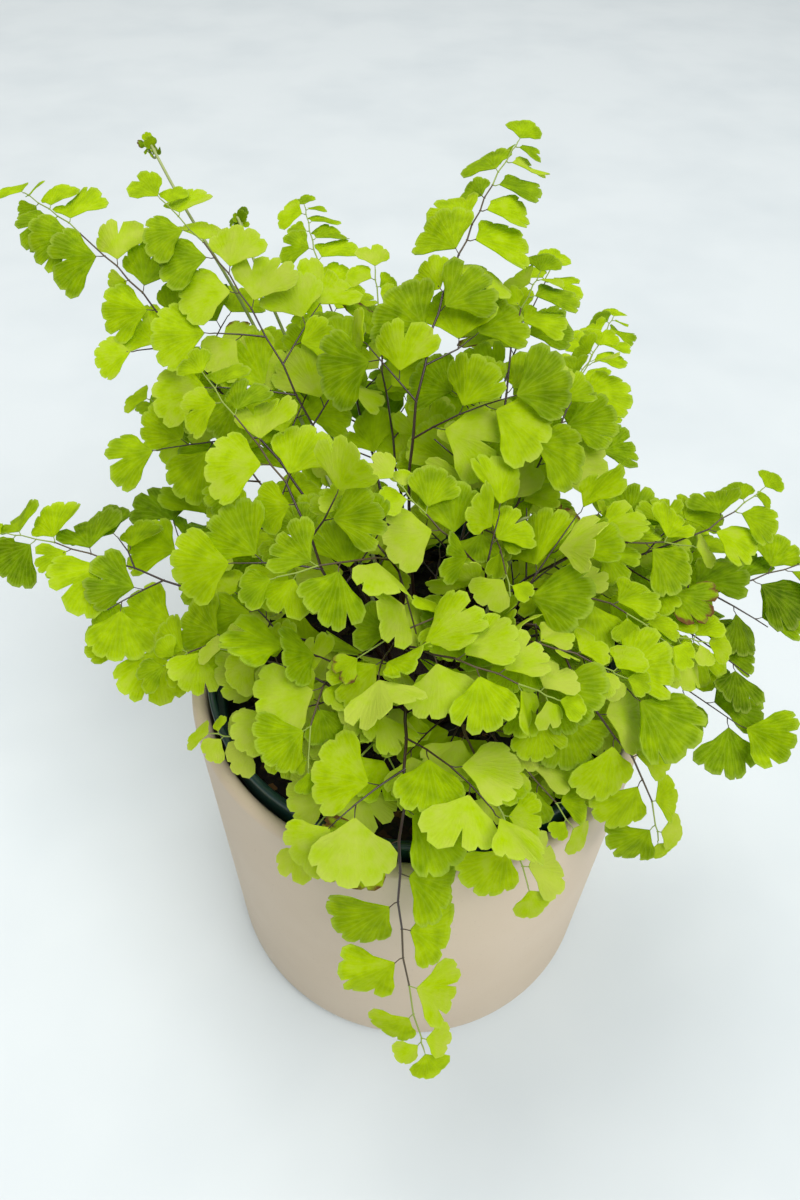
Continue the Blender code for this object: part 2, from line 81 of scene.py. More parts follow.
def soft_light(name, at, power, colour):
    """A square panel of light at a point, turned towards the plant."""
    panel = bpy.data.lights.new(name, "AREA")
    panel.shape = "SQUARE"
    panel.size, panel.energy, panel.color = PANEL, power, colour
    ob = bpy.data.objects.new(name, panel)
    ob.location = at
    ob.rotation_euler = (LIT_AT - Vector(at)).to_track_quat("-Z", "Y").to_euler()
    bpy.context.scene.collection.objects.link(ob)


soft_light("window_light", (-0.4, 0.85, 2.3), 29.0, (1.0, 0.99, 0.96))
soft_light("room_light", (0.8, -1.1, 2.2), 49.0, (0.97, 0.985, 1.0))
sky = bpy.data.worlds.new("pale_room")
sky.use_nodes = True
backdrop = sky.node_tree.nodes["Background"]
backdrop.inputs["Color"].default_value = SKY
backdrop.inputs["Strength"].default_value = SKY_STRENGTH
bpy.context.scene.world = sky
bpy.context.scene.view_settings.view_transform = "Standard"


# ---- Floor --------------------------------------------------------------------------------------
# A plain white tabletop, honed so that it has no gloss.  It isn't part of the plant.
FLOOR_HALF = 2.0
RGBA = {"data_type": "RGBA"}                 # settings of a Mix node that mixes colours


def linear(code):
    """A linear colour from an sRGB hex code."""
    parts = [int(code[k:k + 2], 16) / 255 for k in (0, 2, 4)]
    return (*[p / 12.92 if p <= 0.04045 else ((p + 0.055) / 1.055) ** 2.4 for p in parts], 1.0)


def node(tree, kind, settings, inputs):
    """Add a node: its settings, and each input's value or the socket that feeds it."""
    made = tree.nodes.new("ShaderNode" + kind)
    for name, value in settings.items():
        setattr(made, name, value)
    for name, value in inputs.items():
        if isinstance(value, bpy.types.NodeSocket):
            tree.links.new(value, made.inputs[name])
        else:
            made.inputs[name].default_value = value
    return made


def finish_of(name, inputs):
    """A new material with these values on its Principled shader; its tree, the shader and Object coordinates."""
    material = bpy.data.materials.new(name)
    material.use_nodes = True
    tree = material.node_tree
    shader = tree.nodes["Principled BSDF"]
    for socket, value in inputs.items():
        shader.inputs[socket].default_value = value
    return material, tree, shader, node(tree, "TexCoord", {}, {}).outputs["Object"]


def feed(tree, shader, sockets):
    """Link each of these sockets to the shader's input of that name."""
    for name, socket in sockets.items():
        tree.links.new(socket, shader.inputs[name])


def mesh_from(name, bm):
    """A mesh with what the bmesh holds; the bmesh is let go."""
    mesh = bpy.data.meshes.new(name)
    bm.to_mesh(mesh)
    bm.free()
    return mesh


def stand(name, mesh, material):
    """Put a finished mesh or curve in the scene under its piece name."""
    ob = bpy.data.objects.new(name, mesh)
    if material:
        mesh.materials.append(material)
    bpy.context.scene.collection.objects.link(ob)
    return ob


# honed white stone: broad, very faint cool clouds about 120 mm across
stone, tree, shader, here = finish_of("Honed_White_Stone", {"Roughness": 0.55, "IOR": 1.5})
cloud = node(tree, "TexNoise", {}, {"Vector": here, "Scale": 1 / 0.12, "Detail": 3.0, "Roughness": 0.55})
clouded = node(tree, "MapRange", {}, {"Value": cloud.outputs["Fac"], "From Min": 0.42, "From Max": 0.75})
shade = node(tree, "Mix", RGBA, {0: clouded.outputs["Result"], 6: linear("d6dcdd"), 7: linear("cdd4d6")})
feed(tree, shader, {"Base Color": shade.outputs[2]})

bm = bmesh.new()
bmesh.ops.create_grid(bm, x_segments=4, y_segments=4, size=FLOOR_HALF)
floor = stand("floor", mesh_from("floor", bm), stone)

# ---- Cachepot -----------------------------------------------------------------------------------
# The outer pot: slip-cast stoneware, straight sided, with a thin rounded rim and a small foot radius.  It is glazed
# inside and out with a matte beige glaze, and everything else stands in it.
POT_D, POT_H = 125.0, 120.0
POT_WALL, POT_FLOOR = 4.2, 6.0


def turn_profile(name, profile, rounds, steps):
    """A mesh turned about Z from a profile in millimetres; rounds gives the radius worked on each corner."""
    bm = bmesh.new()
    line = [bm.verts.new((r * MM, 0, z * MM)) for r, z in profile]
    for a, b in zip(line, line[1:]):
        bm.edges.new((a, b))
    for corner, radius in zip(line, rounds):
        if radius:
            bmesh.ops.bevel(bm, geom=[corner], offset=radius * MM, offset_type="OFFSET", affect="VERTICES",
                            segments=4, profile=0.5, material=-1)
    bmesh.ops.spin(bm, geom=bm.verts[:] + bm.edges[:], cent=(0, 0, 0), axis=(0, 0, 1), angle=math.tau, steps=steps,
                   use_merge=True)
    bmesh.ops.remove_doubles(bm, verts=bm.verts, dist=1e-6)
    bmesh.ops.recalc_face_normals(bm, faces=bm.faces)
    for face in bm.faces:
        face.smooth = True
    return mesh_from(name, bm)


# matte stoneware glaze: satin, near chalky, with a slight cloudiness where the glaze pooled, and pinholes of 0.3 mm
glaze, tree, shader, here = finish_of("Matte_Beige_Stoneware_Glaze", {"Roughness": 0.5, "IOR": 1.5})
pooled = node(tree, "TexNoise", {}, {"Vector": here, "Scale": 1 / 0.035, "Detail": 4.0, "Roughness": 0.5})
shade = node(tree, "Mix", RGBA, {0: pooled.outputs["Fac"], 6: linear("d6c4ab"), 7: linear("cdb99e")})
grain = node(tree, "TexNoise", {}, {"Vector": here, "Scale": 1 / 0.0009, "Detail": 2.0})
speck = node(tree, "MapRange", {}, {"Value": grain.outputs["Fac"], "From Min": 0.66, "From Max": 0.80,
                                    "To Max": 0.35})
speckled = node(tree, "Mix", RGBA, {0: speck.outputs["Result"], 6: shade.outputs[2], 7: linear("a8937a")})
satin = node(tree, "MapRange", {}, {"Value": pooled.outputs["Fac"], "To Min": 0.44, "To Max": 0.60})
skin = node(tree, "Bump", {}, {"Height": grain.outputs["Fac"], "Strength": 0.18, "Distance": 0.00012})
feed(tree, shader, {"Base Color": speckled.outputs[2],
                    "Roughness": satin.outputs["Result"],
                    "Normal": skin.outputs["Normal"]})

outer, inner = POT_D / 2, POT_D / 2 - POT_WALL
cachepot = stand("cachepot_glazed", turn_profile(
    "cachepot_glazed",
    [(0, 1.2), (outer - 9, 1.2), (outer - 10, 0), (outer - 0.2, 0), (outer, POT_H), (inner, POT_H),
     (inner, POT_FLOOR), (0, POT_FLOOR)],
    [0, 0.5, 0.5, 4.2, 1.9, 1.9, 4.0, 0], 160), glaze)
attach(cachepot, "root")
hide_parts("cachepot")

# ---- Nursery pot --------------------------------------------------------------------------------
# The growing pot that the fern was sold in: thin polypropylene, injection moulded, dark bottle green.  It drops
# loosely into the cachepot, and its banded lip stands a few millimetres above the ceramic.
LIP_D, LIP_TOP, LIP_H = 115.2, 125.0, 10.0
NURSERY_WALL, NURSERY_FOOT_D = 1.5, 90.0
GAP = 0.35

# moulded polypropylene: low waxy gloss over a fine spark-eroded grain of 0.4 mm, with paler rubbed patches
plastic, tree, shader, here = finish_of("Bottle_Green_Polypropylene", {"Roughness": 0.36, "IOR": 1.49})
rubbed = node(tree, "TexNoise", {}, {"Vector": here, "Scale": 1 / 0.012, "Detail": 5.0, "Roughness": 0.6})
shade = node(tree, "Mix", RGBA, {0: rubbed.outputs["Fac"], 6: linear("0a2620"), 7: linear("15403a")})
wear = node(tree, "MapRange", {}, {"Value": rubbed.outputs["Fac"], "To Min": 0.28, "To Max": 0.48})
grain = node(tree, "TexNoise", {}, {"Vector": here, "Scale": 1 / 0.0004, "Detail": 1.0})
skin = node(tree, "Bump", {}, {"Height": grain.outputs["Fac"], "Strength": 0.12, "Distance": 0.00008})
feed(tree, shader, {"Base Color": shade.outputs[2],
                    "Roughness": wear.outputs["Result"],
                    "Normal": skin.outputs["Normal"]})

lip, foot_r, low = LIP_D / 2, NURSERY_FOOT_D / 2, POT_FLOOR + GAP
neck, band = lip - 2.2, LIP_TOP - LIP_H
nursery = stand("nursery_pot_moulded", turn_profile(
    "nursery_pot_moulded",
    [(0, low + 1.5), (foot_r - 1.5, low + 1.5), (neck - 1.5, band + 1.5), (lip - 1.6, band + 2.6),
     (lip - 1.5, LIP_TOP - 2.6), (lip - 1.9, LIP_TOP - 1.9), (lip - 1.9, LIP_TOP), (lip, LIP_TOP),
     (lip, LIP_TOP - 1.9), (lip - 0.5, LIP_TOP - 2.5), (lip - 0.4, band), (neck, band), (foot_r, low),
     (foot_r - 4, low), (foot_r - 6, low + 0.4), (0, low + 0.4)],
    [0, 1.0, 0.8, 0.5, 0.2, 0.2, 0.75, 0.75, 0.3, 0.3, 0.4, 0.5, 1.0, 0.4, 0.4, 0], 144), plastic)
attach(nursery, "root")
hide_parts("nursery_pot")

# ---- Potting mix --------------------------------------------------------------------------------
# Damp peat-free mix: composted bark, wood fibre and a little grit, pressed in round the roots.  The bed is one
# turned lump with an uneven top; loose chips lie on it.
SOIL_TOP = 114.0
BED_STEPS, BED_RINGS = 72, 15
CHIPS, LONGEST_CHIP = 420, 4.6

# damp composted bark: near black and dull, with rust-brown and straw-coloured bits 2 mm across
mix, tree, shader, here = finish_of("Damp_Bark_Potting_Mix", {"Roughness": 0.85, "IOR": 1.4})
crumb = node(tree, "TexVoronoi", {}, {"Vector": here, "Scale": 1 / 0.002, "Randomness": 1.0})
pick = node(tree, "SeparateColor", {}, {"Color": crumb.outputs["Color"]})
tint = node(tree, "ValToRGB", {}, {"Fac": pick.outputs["Red"]})
tint.color_ramp.interpolation = "CONSTANT"
for spot, code in ((0.0, "0a0705"), (0.45, "130c08"), (0.74, "24160b"), (0.92, "3d2611"), (0.98, "6b4c28")):
    stop = tint.color_ramp.elements[0] if spot == 0.0 else tint.color_ramp.elements.new(spot)
    stop.color = linear(code)
tint.color_ramp.elements.remove(tint.color_ramp.elements[-1])
lump = node(tree, "Bump", {}, {"Height": crumb.outputs["Distance"], "Strength": 0.7, "Distance": 0.0008})
feed(tree, shader, {"Base Color": tint.outputs["Color"], "Normal": lump.outputs["Normal"]})

top_r = neck - NURSERY_WALL - GAP - 0.3
bed = turn_profile("potting_mix_bed", [(top_r * k / BED_RINGS, SOIL_TOP - 0.6) for k in range(BED_RINGS)]
                   + [(top_r, SOIL_TOP - 1.2), (foot_r - 2.6, low + 3.6), (foot_r - 4.5, low + 2.0),
                      (0, low + 2.0)],
                   [0] * (BED_RINGS + 4), BED_STEPS)
for vert in bed.vertices:
    r = vert.co.xy.length
    if vert.co.z > (SOIL_TOP - 2) * MM and r < (top_r - 1) * MM:
        vert.co.z += (0.0011 * noise.noise(vert.co * 190) + 0.0006 * noise.noise(vert.co * 520)
                      - 0.0006 * (r / 0.05) ** 4)
bed_piece = stand("potting_mix_bed", bed, mix)
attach(bed_piece, "root")
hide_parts("potting_mix")

rng = random.Random("chips")
bm = bmesh.new()
for k in range(CHIPS):
    long = rng.uniform(0.8, 2.6) if k % 6 else rng.uniform(2.6, LONGEST_CHIP)
    size = Vector((long, long * rng.uniform(0.35, 0.8), long * rng.uniform(0.2, 0.45))) * MM
    turn, r = rng.uniform(0, math.tau), (top_r - 3.0) * math.sqrt(rng.uniform(0.1, 1.0))
    at = Vector((r * math.cos(turn), r * math.sin(turn), SOIL_TOP - 0.3 + rng.uniform(-0.3, 0.5))) * MM
    pose = Matrix.Translation(at) @ Matrix.Rotation(rng.uniform(0, math.tau), 4, "Z") @ Matrix.Rotation(
        rng.uniform(-0.5, 0.5), 4, "Y") @ Matrix.Diagonal((*size, 1.0))
    chip = bmesh.ops.create_icosphere(bm, subdivisions=1, radius=1.0)["verts"]
    for vert in chip:
        vert.co *= rng.uniform(0.75, 1.15)
    bmesh.ops.transform(bm, matrix=pose, verts=chip)
chips = stand("potting_mix_chips", mesh_from("potting_mix_chips", bm), mix)
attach(chips, "root")

# ---- Rootstock ----------------------------------------------------------------------------------
# The short creeping rhizome at the surface of the mix, under old scales and the stubs of last year's stalks.  Every
# stalk grows out of it.
CROWN_D, CROWN_H = 36.0, 4.2
STUBS = 26

# scaly rhizome: dry brown chaff over dark wood, in flecks about 1 mm wide
scaly, tree, shader, here = finish_of("Scaly_Brown_Rhizome", {"Roughness": 0.8, "IOR": 1.4})
fleck = node(tree, "TexNoise", {}, {"Vector": here, "Scale": 1 / 0.0012, "Detail": 4.0, "Roughness": 0.7})
shade = node(tree, "Mix", RGBA, {0: fleck.outputs["Fac"], 6: linear("0e0805"), 7: linear("2a180d")})
chaff = node(tree, "Bump", {}, {"Height": fleck.outputs["Fac"], "Strength": 0.8, "Distance": 0.0006})
feed(tree, shader, {"Base Color": shade.outputs[2], "Normal": chaff.outputs["Normal"]})

rng = random.Random("rootstock")
bm = bmesh.new()
bmesh.ops.create_uvsphere(bm, u_segments=48, v_segments=20, radius=1.0)
for vert in bm.verts:
    if vert.co.z < 0:
        vert.co.z *= 0.25
    vert.co = Vector((vert.co.x * CROWN_D / 2, vert.co.y * CROWN_D / 2, vert.co.z * CROWN_H)) * MM
    vert.co *= 0.96 + 0.07 * noise.noise(vert.co * 260)
    vert.co.z += (SOIL_TOP + 0.3) * MM
for k in range(STUBS):
    turn, r = rng.uniform(0, math.tau), CROWN_D / 2 * math.sqrt(rng.uniform(0.02, 0.8))
    dome = SOIL_TOP + CROWN_H * (1 - (2 * r / CROWN_D) ** 2)
    base = Vector((r * math.cos(turn), r * math.sin(turn), dome - 0.4)) * MM
    tall = rng.uniform(2.2, 4.4) * MM
    lean = Vector((math.cos(turn) * 0.5, math.sin(turn) * 0.5, 1.0)).to_track_quat("Z", "Y").to_matrix().to_4x4()
    bmesh.ops.create_cone(bm, cap_ends=True, segments=7, radius1=0.9 * MM, radius2=0.55 * MM, depth=tall,
                          matrix=Matrix.Translation(base) @ lean @ Matrix.Translation((0, 0, tall / 2)))
for face in bm.faces:
    face.smooth = len(face.verts) <= 4
rhizome = stand("rootstock_scaly", mesh_from("rootstock_scaly", bm), scaly)
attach(rhizome, "root")
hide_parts("rootstock")

# ---- Young shoots: routes -----------------------------------------------------------------------
# Three croziers that haven't opened yet.  The grown fronds leave room for them, so their routes come first.
# name, route from the rootstock to the curl in millimetres, radius of the curl
SHOOTS = [
    ("shoot_left", [(-9, 10), (-24, 34, 152), (-46, 62, 188), (-63, 82, 208), (-72, 93, 220)], 2.2),
    ("shoot_back", [(-6, 13), (-22, 40, 158), (-40, 64, 190), (-49, 79, 207)], 2.0),
    ("shoot_right", [(13.5, 6.5), (21, 12, 138), (24, 13, 152), (23, 10, 163)], 2.1),
]

# ---- Fronds: how they grow ----------------------------------------------------------------------
# Twenty-six grown fronds.  Each is a wiry stalk that runs on as a midrib, with short side branches and fan-shaped
# leaflets placed in turn on either side.  A leaflet is turned, tipped or made smaller until it is clear of the
# rest.
LEAF_L = 17.0          # length of a full-size leaflet with its thread-like foot
LEAF_RATIO = 1.06      # width over length of a leaflet
LEAF_FOOT = 0.2        # share of that length that is bare foot
CLEAR = 0.52           # half the thickness of the space that a leaflet keeps clear
STALK_ROOM, SHOOT_ROOM, INNER_ROOM = 0.80, 0.85, 0.45    # the same for the stalks of fronds, shoots, inner fronds
STRETCH = 5.0          # length of the straight blocks along a stalk
WALL_PARTS, MIX_R, MIX_PARTS = 36, 54, 24                # blocks of the two rims, and the disc of the mix
POSES, FIRST_SPREAD, MORE_SPREAD = 26, 7.0, 1.7    # poses tried for a leaflet; how many degrees each may differ
STEEPEST = 48.0        # most degrees that a leaflet tips out of the blade
PAIRED, GENTLE = 13.0, 0.0                         # degrees that a leaflet rolls over its neighbour
BRANCH_ANGLE, LEAF_ANGLE, INNER_ANGLE = 54, 50, 47  # degrees off the midrib; the last is for a leaflet on a branch
BRANCH_TRIES = 10
LEAST_REACH, SHORT_REACH = 10.5, 13.0              # no branch where less reach is left; a branch is no shorter
BRANCH_STEP, LEAF_STEP = 7.8, 5.6                  # bare midrib after a branch and after a leaflet
TAPER, BRANCH_TAPER = 0.42, 0.18                   # how much smaller the leaflets are at the tip
TIP_SIZE = 0.52                                    # the last leaflet of a frond, beside a full-size one
# name, route of the stalk and midrib from the rootstock to the tip, bare share of the route, longest side branch,
# share of the blade with side branches, leaflet scale, direction that the blade faces
FRONDS = [
    ("front_hanging", [(-2, -9), (-4, -26, 140), (-5, -44, 154), (-5, -57, 155), (-6, -68, 146), (-6, -74, 134),
                       (-5, -79, 121), (-3, -86, 109), (0, -93, 99)], 0.40, 26, 0.36, 1.06, (0, -0.35, 1)),
    ("left_over_rim", [(-11, -6.5), (-15, -23, 134), (-20, -37, 143), (-31, -41, 144), (-41, -39, 141),
                       (-50, -35, 137)], 0.42, 19, 0.8, 0.92, (0, -0.3, 1)),
    ("left_low", [(-7, -10.5), (-10, -26, 139), (-16, -33, 149), (-25, -31, 153), (-36, -26, 153), (-47, -21, 151)],
     0.46, 18, 0.8, 0.9, (0, -0.4, 1)),
    ("left_long", [(-13, -1), (-28, 1, 127), (-45, 4, 134), (-61, 8, 140), (-74, 11, 144), (-87, 14, 147),
                   (-99, 17, 149), (-111, 20, 149)], 0.32, 39, 0.72, 1.2, (0, -0.25, 1)),
    ("upper_left_long", [(-8, 7), (-24, 20, 148), (-42, 34, 170), (-56, 45, 182), (-66, 54, 191), (-76, 62, 199),
                         (-91, 75, 206), (-108, 90, 209)], 0.36, 34, 0.62, 1.08, (0.1, -0.5, 1)),
    ("upper_left_inner", [(-5, 9), (-18, 24, 150), (-32, 38, 180), (-42, 48, 196), (-52, 58, 207), (-66, 70, 216)],
     0.48, 28, 0.65, 1.08, (0.1, -0.5, 1)),
    ("centre_left", [(-6, -4), (-14, -13, 146), (-20, -20, 168), (-25, -17, 182), (-29, -11, 190), (-35, -4, 195),
                     (-42, 4, 199), (-49, 14, 202)], 0.46, 24, 0.65, 0.98, (-0.1, -0.4, 1)),
    ("tall_back", [(0, 7), (-3, 10, 150), (-4, 14, 178), (-2, 22, 194), (1, 32, 204), (5, 42, 211), (10, 54, 217),
                   (16, 69, 222), (23, 84, 226)], 0.42, 28, 0.45, 1.08, (0, -0.5, 1)),
    ("right_upright", [(6, 3), (12, 5, 142), (18, 7, 163), (18, 11, 176), (18, 19, 187), (19, 29, 195),
                       (22, 42, 201), (28, 56, 205)], 0.48, 26, 0.6, 1.06, (0, -0.5, 1)),
    ("right_back_low", [(9, 9), (22, 30, 138), (36, 58, 150), (46, 78, 156), (54, 91, 159), (60, 103, 161),
                        (65, 114, 161)], 0.34, 26, 0.6, 0.92, (0, -0.1, 1)),
    ("back_far", [(-3, 12), (-12, 40, 152), (-22, 68, 172), (-27, 86, 181), (-32, 104, 188), (-36, 124, 192)],
     0.36, 28, 0.65, 1.0, (0, 0.1, 1)),
    ("right_long", [(13, -2), (28, -1, 126), (46, 1, 133), (64, 4, 137), (77, 8, 140), (89, 12, 142),
                    (101, 16, 143), (113, 20, 142)], 0.34, 40, 0.78, 1.2, (0, -0.3, 1)),
    ("right_front_long", [(7, -6), (13, -14, 144), (18, -20, 160), (26, -26, 165), (31, -36, 162), (36, -43, 157),
                          (43, -46, 149), (48, -48, 141), (52, -51, 132), (55, -54, 122)], 0.36, 30, 0.6, 1.1,
     (0, -0.35, 1)),
    ("centre_front", [(0, -6), (-5, -16, 146), (-8, -28, 162), (-3, -35, 169), (7, -41, 172), (15, -44, 171),
                      (25, -46, 167)], 0.46, 17, 0.7, 1.0, (0, -0.4, 1)),
    ("centre_top", [(-3, -1), (-5, -5, 150), (-7, -13, 171), (-12, -20, 181), (-20, -26, 185), (-31, -29, 184)],
     0.55, 22, 0.8, 1.0, (0, -0.4, 1)),
    ("centre_right", [(4, -2), (11, -6, 145), (14, -11, 165), (8, -12, 175), (0, -9, 182), (-7, -3, 187)],
     0.54, 18, 0.8, 0.98, (0, -0.4, 1)),
    ("right_middle", [(10, 3), (21, 3, 143), (34, 3, 158), (46, 3, 163), (57, 4, 163), (67, 6, 160)],
     0.42, 25, 0.7, 1.08, (0, -0.4, 1)),
    ("right_back", [(8, 6), (17, 12, 148), (27, 22, 168), (35, 32, 179), (40, 42, 185), (45, 52, 187)],
     0.38, 23, 0.7, 1.1, (0, -0.45, 1)),
    ("right_over_rim", [(5, -9.5), (9, -26, 138), (12, -38, 147), (17, -46, 148), (25, -52, 143), (32, -57, 135)],
     0.46, 18, 0.7, 1.0, (0, -0.4, 1)),
    ("right_low", [(11, -4), (26, -9, 142), (42, -14, 151), (56, -16, 152), (68, -15, 148)],
     0.42, 24, 0.65, 1.08, (0, -0.3, 1)),
    ("left_back", [(-10, 4), (-29, 18, 144), (-46, 31, 163), (-60, 41, 170), (-74, 50, 171)],
     0.34, 30, 0.75, 1.08, (0, -0.35, 1)),
    ("left_inner", [(-10, -4), (-24, -9, 138), (-38, -12, 146), (-50, -15, 147), (-62, -18, 142)],
     0.42, 26, 0.75, 1.08, (0, -0.35, 1)),
    ("back_middle", [(-1, 10), (-5, 28, 150), (-10, 45, 177), (-12, 58, 191), (-13, 71, 198)],
     0.38, 27, 0.7, 1.06, (0, -0.45, 1)),
    ("back_right", [(5, 9), (13, 29, 150), (21, 47, 176), (27, 60, 189), (34, 74, 197)],
     0.38, 28, 0.7, 1.06, (0, -0.45, 1)),
    ("front_left_low", [(-4, -12.5), (-7, -31, 137), (-13, -44, 145), (-19, -54, 143), (-26, -62, 136)],
     0.42, 20, 0.7, 1.05, (0, -0.3, 1)),
    ("front_right_low", [(1.5, -12.5), (4, -30, 141), (8, -43, 151), (12, -55, 150), (17, -64, 144),
                         (21, -71, 135)], 0.42, 20, 0.7, 1.05, (0, -0.3, 1)),
]


class Path:
    """Smooth curve through a few points, read by distance along it."""

    def __init__(self, points):
        p = [Vector(q) for q in points]
        p = [2 * p[0] - p[1]] + p + [2 * p[-1] - p[-2]]
        self.pts = []
        for a, b, c, d in zip(p, p[1:], p[2:], p[3:]):
            for k in range(10):
                t = k / 10
                self.pts.append(0.5 * (2 * b + (c - a) * t + (2 * a - 5 * b + 4 * c - d) * t * t
                                       + (3 * b - 3 * c + d - a) * t ** 3))
        self.pts.append(p[-2])
        self.run = [0.0]
        for a, b in zip(self.pts, self.pts[1:]):
            self.run.append(self.run[-1] + (b - a).length)
        self.length = self.run[-1]

    def at(self, s):
        s = min(max(s, 0.0), self.length)
        k = 0
        while k < len(self.run) - 2 and self.run[k + 1] < s:
            k += 1
        f = (s - self.run[k]) / (self.run[k + 1] - self.run[k])
        return self.pts[k].lerp(self.pts[k + 1], f)

    def way(self, s):
        return (self.at(s + 2.0) - self.at(s - 2.0)).normalized()


def square_to(v, axis):
    """The part of v at right angles to axis, as a unit vector."""
    return (v - axis * v.dot(axis)).normalized()


def block_of(points, faces):
    """A block: the corners of its box, and a tree of its faces."""
    return Vector(map(min, zip(*points))), Vector(map(max, zip(*points))), BVHTree.FromPolygons(points, faces)


class Room:
    """Keeps the thin blocks already placed, and says whether a new one is clear of them."""

    def __init__(self):
        self.blocks = []

    @staticmethod
    def slab(outline, normal, half):
        n = len(outline)
        pts = [p + normal * half for p in outline] + [p - normal * half for p in outline]
        faces = [tuple(range(n)), tuple(reversed(range(n, 2 * n)))]
        faces += [(k, n + k, n + (k + 1) % n, (k + 1) % n) for k in range(n)]
        return block_of(pts, faces)

    def clear(self, block, but=()):
        """True if the block meets none of the others, leaving out those listed in but."""
        lo, hi, tree = block
        for other in self.blocks:
            l2, h2, t2 = other
            near = all(lo[i] <= h2[i] and l2[i] <= hi[i] for i in range(3))
            if near and not any(other is b for b in but) and tree.overlap(t2):
                return False
        return True

    def add(self, block):
        self.blocks.append(block)


def stem_slabs(path, s0, s1, half, step=STRETCH):
    """Square-section blocks along a stretch of a path."""
    n = max(1, round((s1 - s0) / step))
    out = []
    for k in range(n):
        a, b = path.at(s0 + (s1 - s0) * k / n), path.at(s0 + (s1 - s0) * (k + 1) / n)
        t = (b - a).normalized()
        side = square_to(Vector((0, 0, 1)) if abs(t.z) < 0.9 else Vector((1, 0, 0)), t)
        w = t.cross(side) * half
        out.append(Room.slab([a - w, b - w, b + w, a + w], side, half))
    return out


def hanging(t):
    """How steeply a midrib points down, from 0 to 0.7."""
    return max(0.0, -t.z - 0.3)


def leaf_outline(base, d, v, length, width, lead, skew, foot):
    """Outline of a fan-shaped leaflet that starts foot millimetres wide."""
    waist = base + d * (lead + (length - lead) * 0.55)
    end = base + d * length
    start = [base + d * 0.9 - v * foot] if foot else [base + d * lead]
    back = [base + d * 0.9 + v * foot] if foot else []
    return start + [waist - v * width * (0.5 + skew), end - v * width * (0.28 + skew),
                    end + v * width * (0.28 - skew), waist + v * width * (0.5 - skew)] + back


def grow_leaf(room, rng, own, path, where, side, face, length, width, alpha, tile=GENTLE, half=CLEAR):
    """Try poses of one leaflet on a path until it is clear of everything placed before it; side 0 is the tip."""
    base, t = path.at(where), path.way(where)
    normal = square_to(face, t)
    s = t.cross(normal)
    roll0, pitch0 = tile + rng.uniform(-9, 9), rng.uniform(-18, 2)
    for k in range(POSES):
        spread = FIRST_SPREAD + MORE_SPREAD * k
        roll = roll0 + (rng.uniform(-spread, spread) if k else 0.0)
        pitch = pitch0 + (rng.uniform(-spread, spread) * 0.8 if k else 0.0)
        turn = alpha + (rng.uniform(-1, 1) * 0.5 * spread if side and k else 0.0)
        size = 1.0 - 0.012 * k
        if side:
            d = t * math.cos(math.radians(turn)) + s * side * math.sin(math.radians(turn))
        else:
            d = t.copy()
        light = square_to(normal + Vector((0, -0.1, 0.45 + 0.5 * hanging(t))), d)
        d = (d + light * math.tan(math.radians(max(-STEEPEST, min(STEEPEST, pitch))))).normalized()
        n = square_to(light, d)
        v = n.cross(d)
        n = (n * math.cos(math.radians(roll)) + v * math.sin(math.radians(roll))).normalized()
        v = n.cross(d)
        if side and v.dot(t) < 0 or not side and v.dot(s) < 0:
            v = -v
        skew = 0.05 if side else 0.0
        ln, wd = length * size, width * size
        lead = ln * LEAF_FOOT
        block = Room.slab(leaf_outline(base, d, v, ln, wd, lead, skew, 1.2), n, half)
        inner = Room.slab(leaf_outline(base, d, v, ln, wd, lead, skew, 0), n, half - 0.08)
        if room.clear(block, own) and all(not inner[2].overlap(b[2]) for b in own):
            room.add(block)
            return dict(base=base, d=d, v=v, n=n, length=ln, width=wd, lead=lead)
    return None


def grow_branch(room, rng, midrib, where, side, face, reach, size, half=CLEAR):
    """A side branch with its own leaflets, on the side of a midrib."""
    base, t = midrib.at(where), midrib.way(where)
    normal = square_to(face, t)
    s = t.cross(normal) * side
    for k in range(BRANCH_TRIES):
        spread = 3.0 + 4.0 * k
        alpha = math.radians(BRANCH_ANGLE + rng.uniform(-6, 6))
        lift = math.radians(rng.uniform(-4, 4) + rng.uniform(-spread, spread))
        bend = rng.uniform(-0.08, 0.30)
        d = t * math.cos(alpha) + s * math.sin(alpha)
        d = (d * math.cos(lift) + normal * math.sin(lift)).normalized()
        inward = square_to(t, d)
        length = reach * (1 - 0.035 * k)
        path = Path([base + d * (length * u) + inward * (length * bend * u * u)
                     - Vector((0, 0, 1)) * (length * 0.10 * u * u) for u in (0.0, 0.25, 0.5, 0.75, 1.0)])
        blocks = stem_slabs(path, 1.9, path.length, half + 0.23, 4.0)
        if all(room.clear(b) for b in blocks):
            blocks += stem_slabs(path, 0.6, 1.9, half + 0.23, 4.0)
            break
    else:
        return None
    for b in blocks:
        room.add(b)
    n0 = square_to(normal + Vector((0, -0.1, 0.2)), d)
    branch = dict(path=path, face=n0, spots=[], own=blocks, size=size)
    where = rng.uniform(5.4, 6.6)
    turn = rng.choice((-1, 1))
    while where < path.length - 2.6:
        u = where / path.length
        ln = LEAF_L * size * (1.0 - BRANCH_TAPER * u) * rng.uniform(0.84, 1.08)
        leaf = grow_leaf(room, rng, blocks, path, where, turn, n0, ln,
                         ln * LEAF_RATIO * rng.uniform(0.92, 1.08), INNER_ANGLE + rng.uniform(-8, 8), PAIRED, half)
        if leaf:
            branch["spots"].append((where, turn, leaf, None))
        where += rng.uniform(5.7, 6.7) * (0.6 + 0.4 * size) * (1.0 if leaf else 0.5)
        turn = -turn
    ln = LEAF_L * size * rng.uniform(0.84, 1.0)
    branch["end"] = grow_leaf(room, rng, blocks, path, path.length, 0, n0, ln, ln * 1.08, 0, half=half)
    return branch


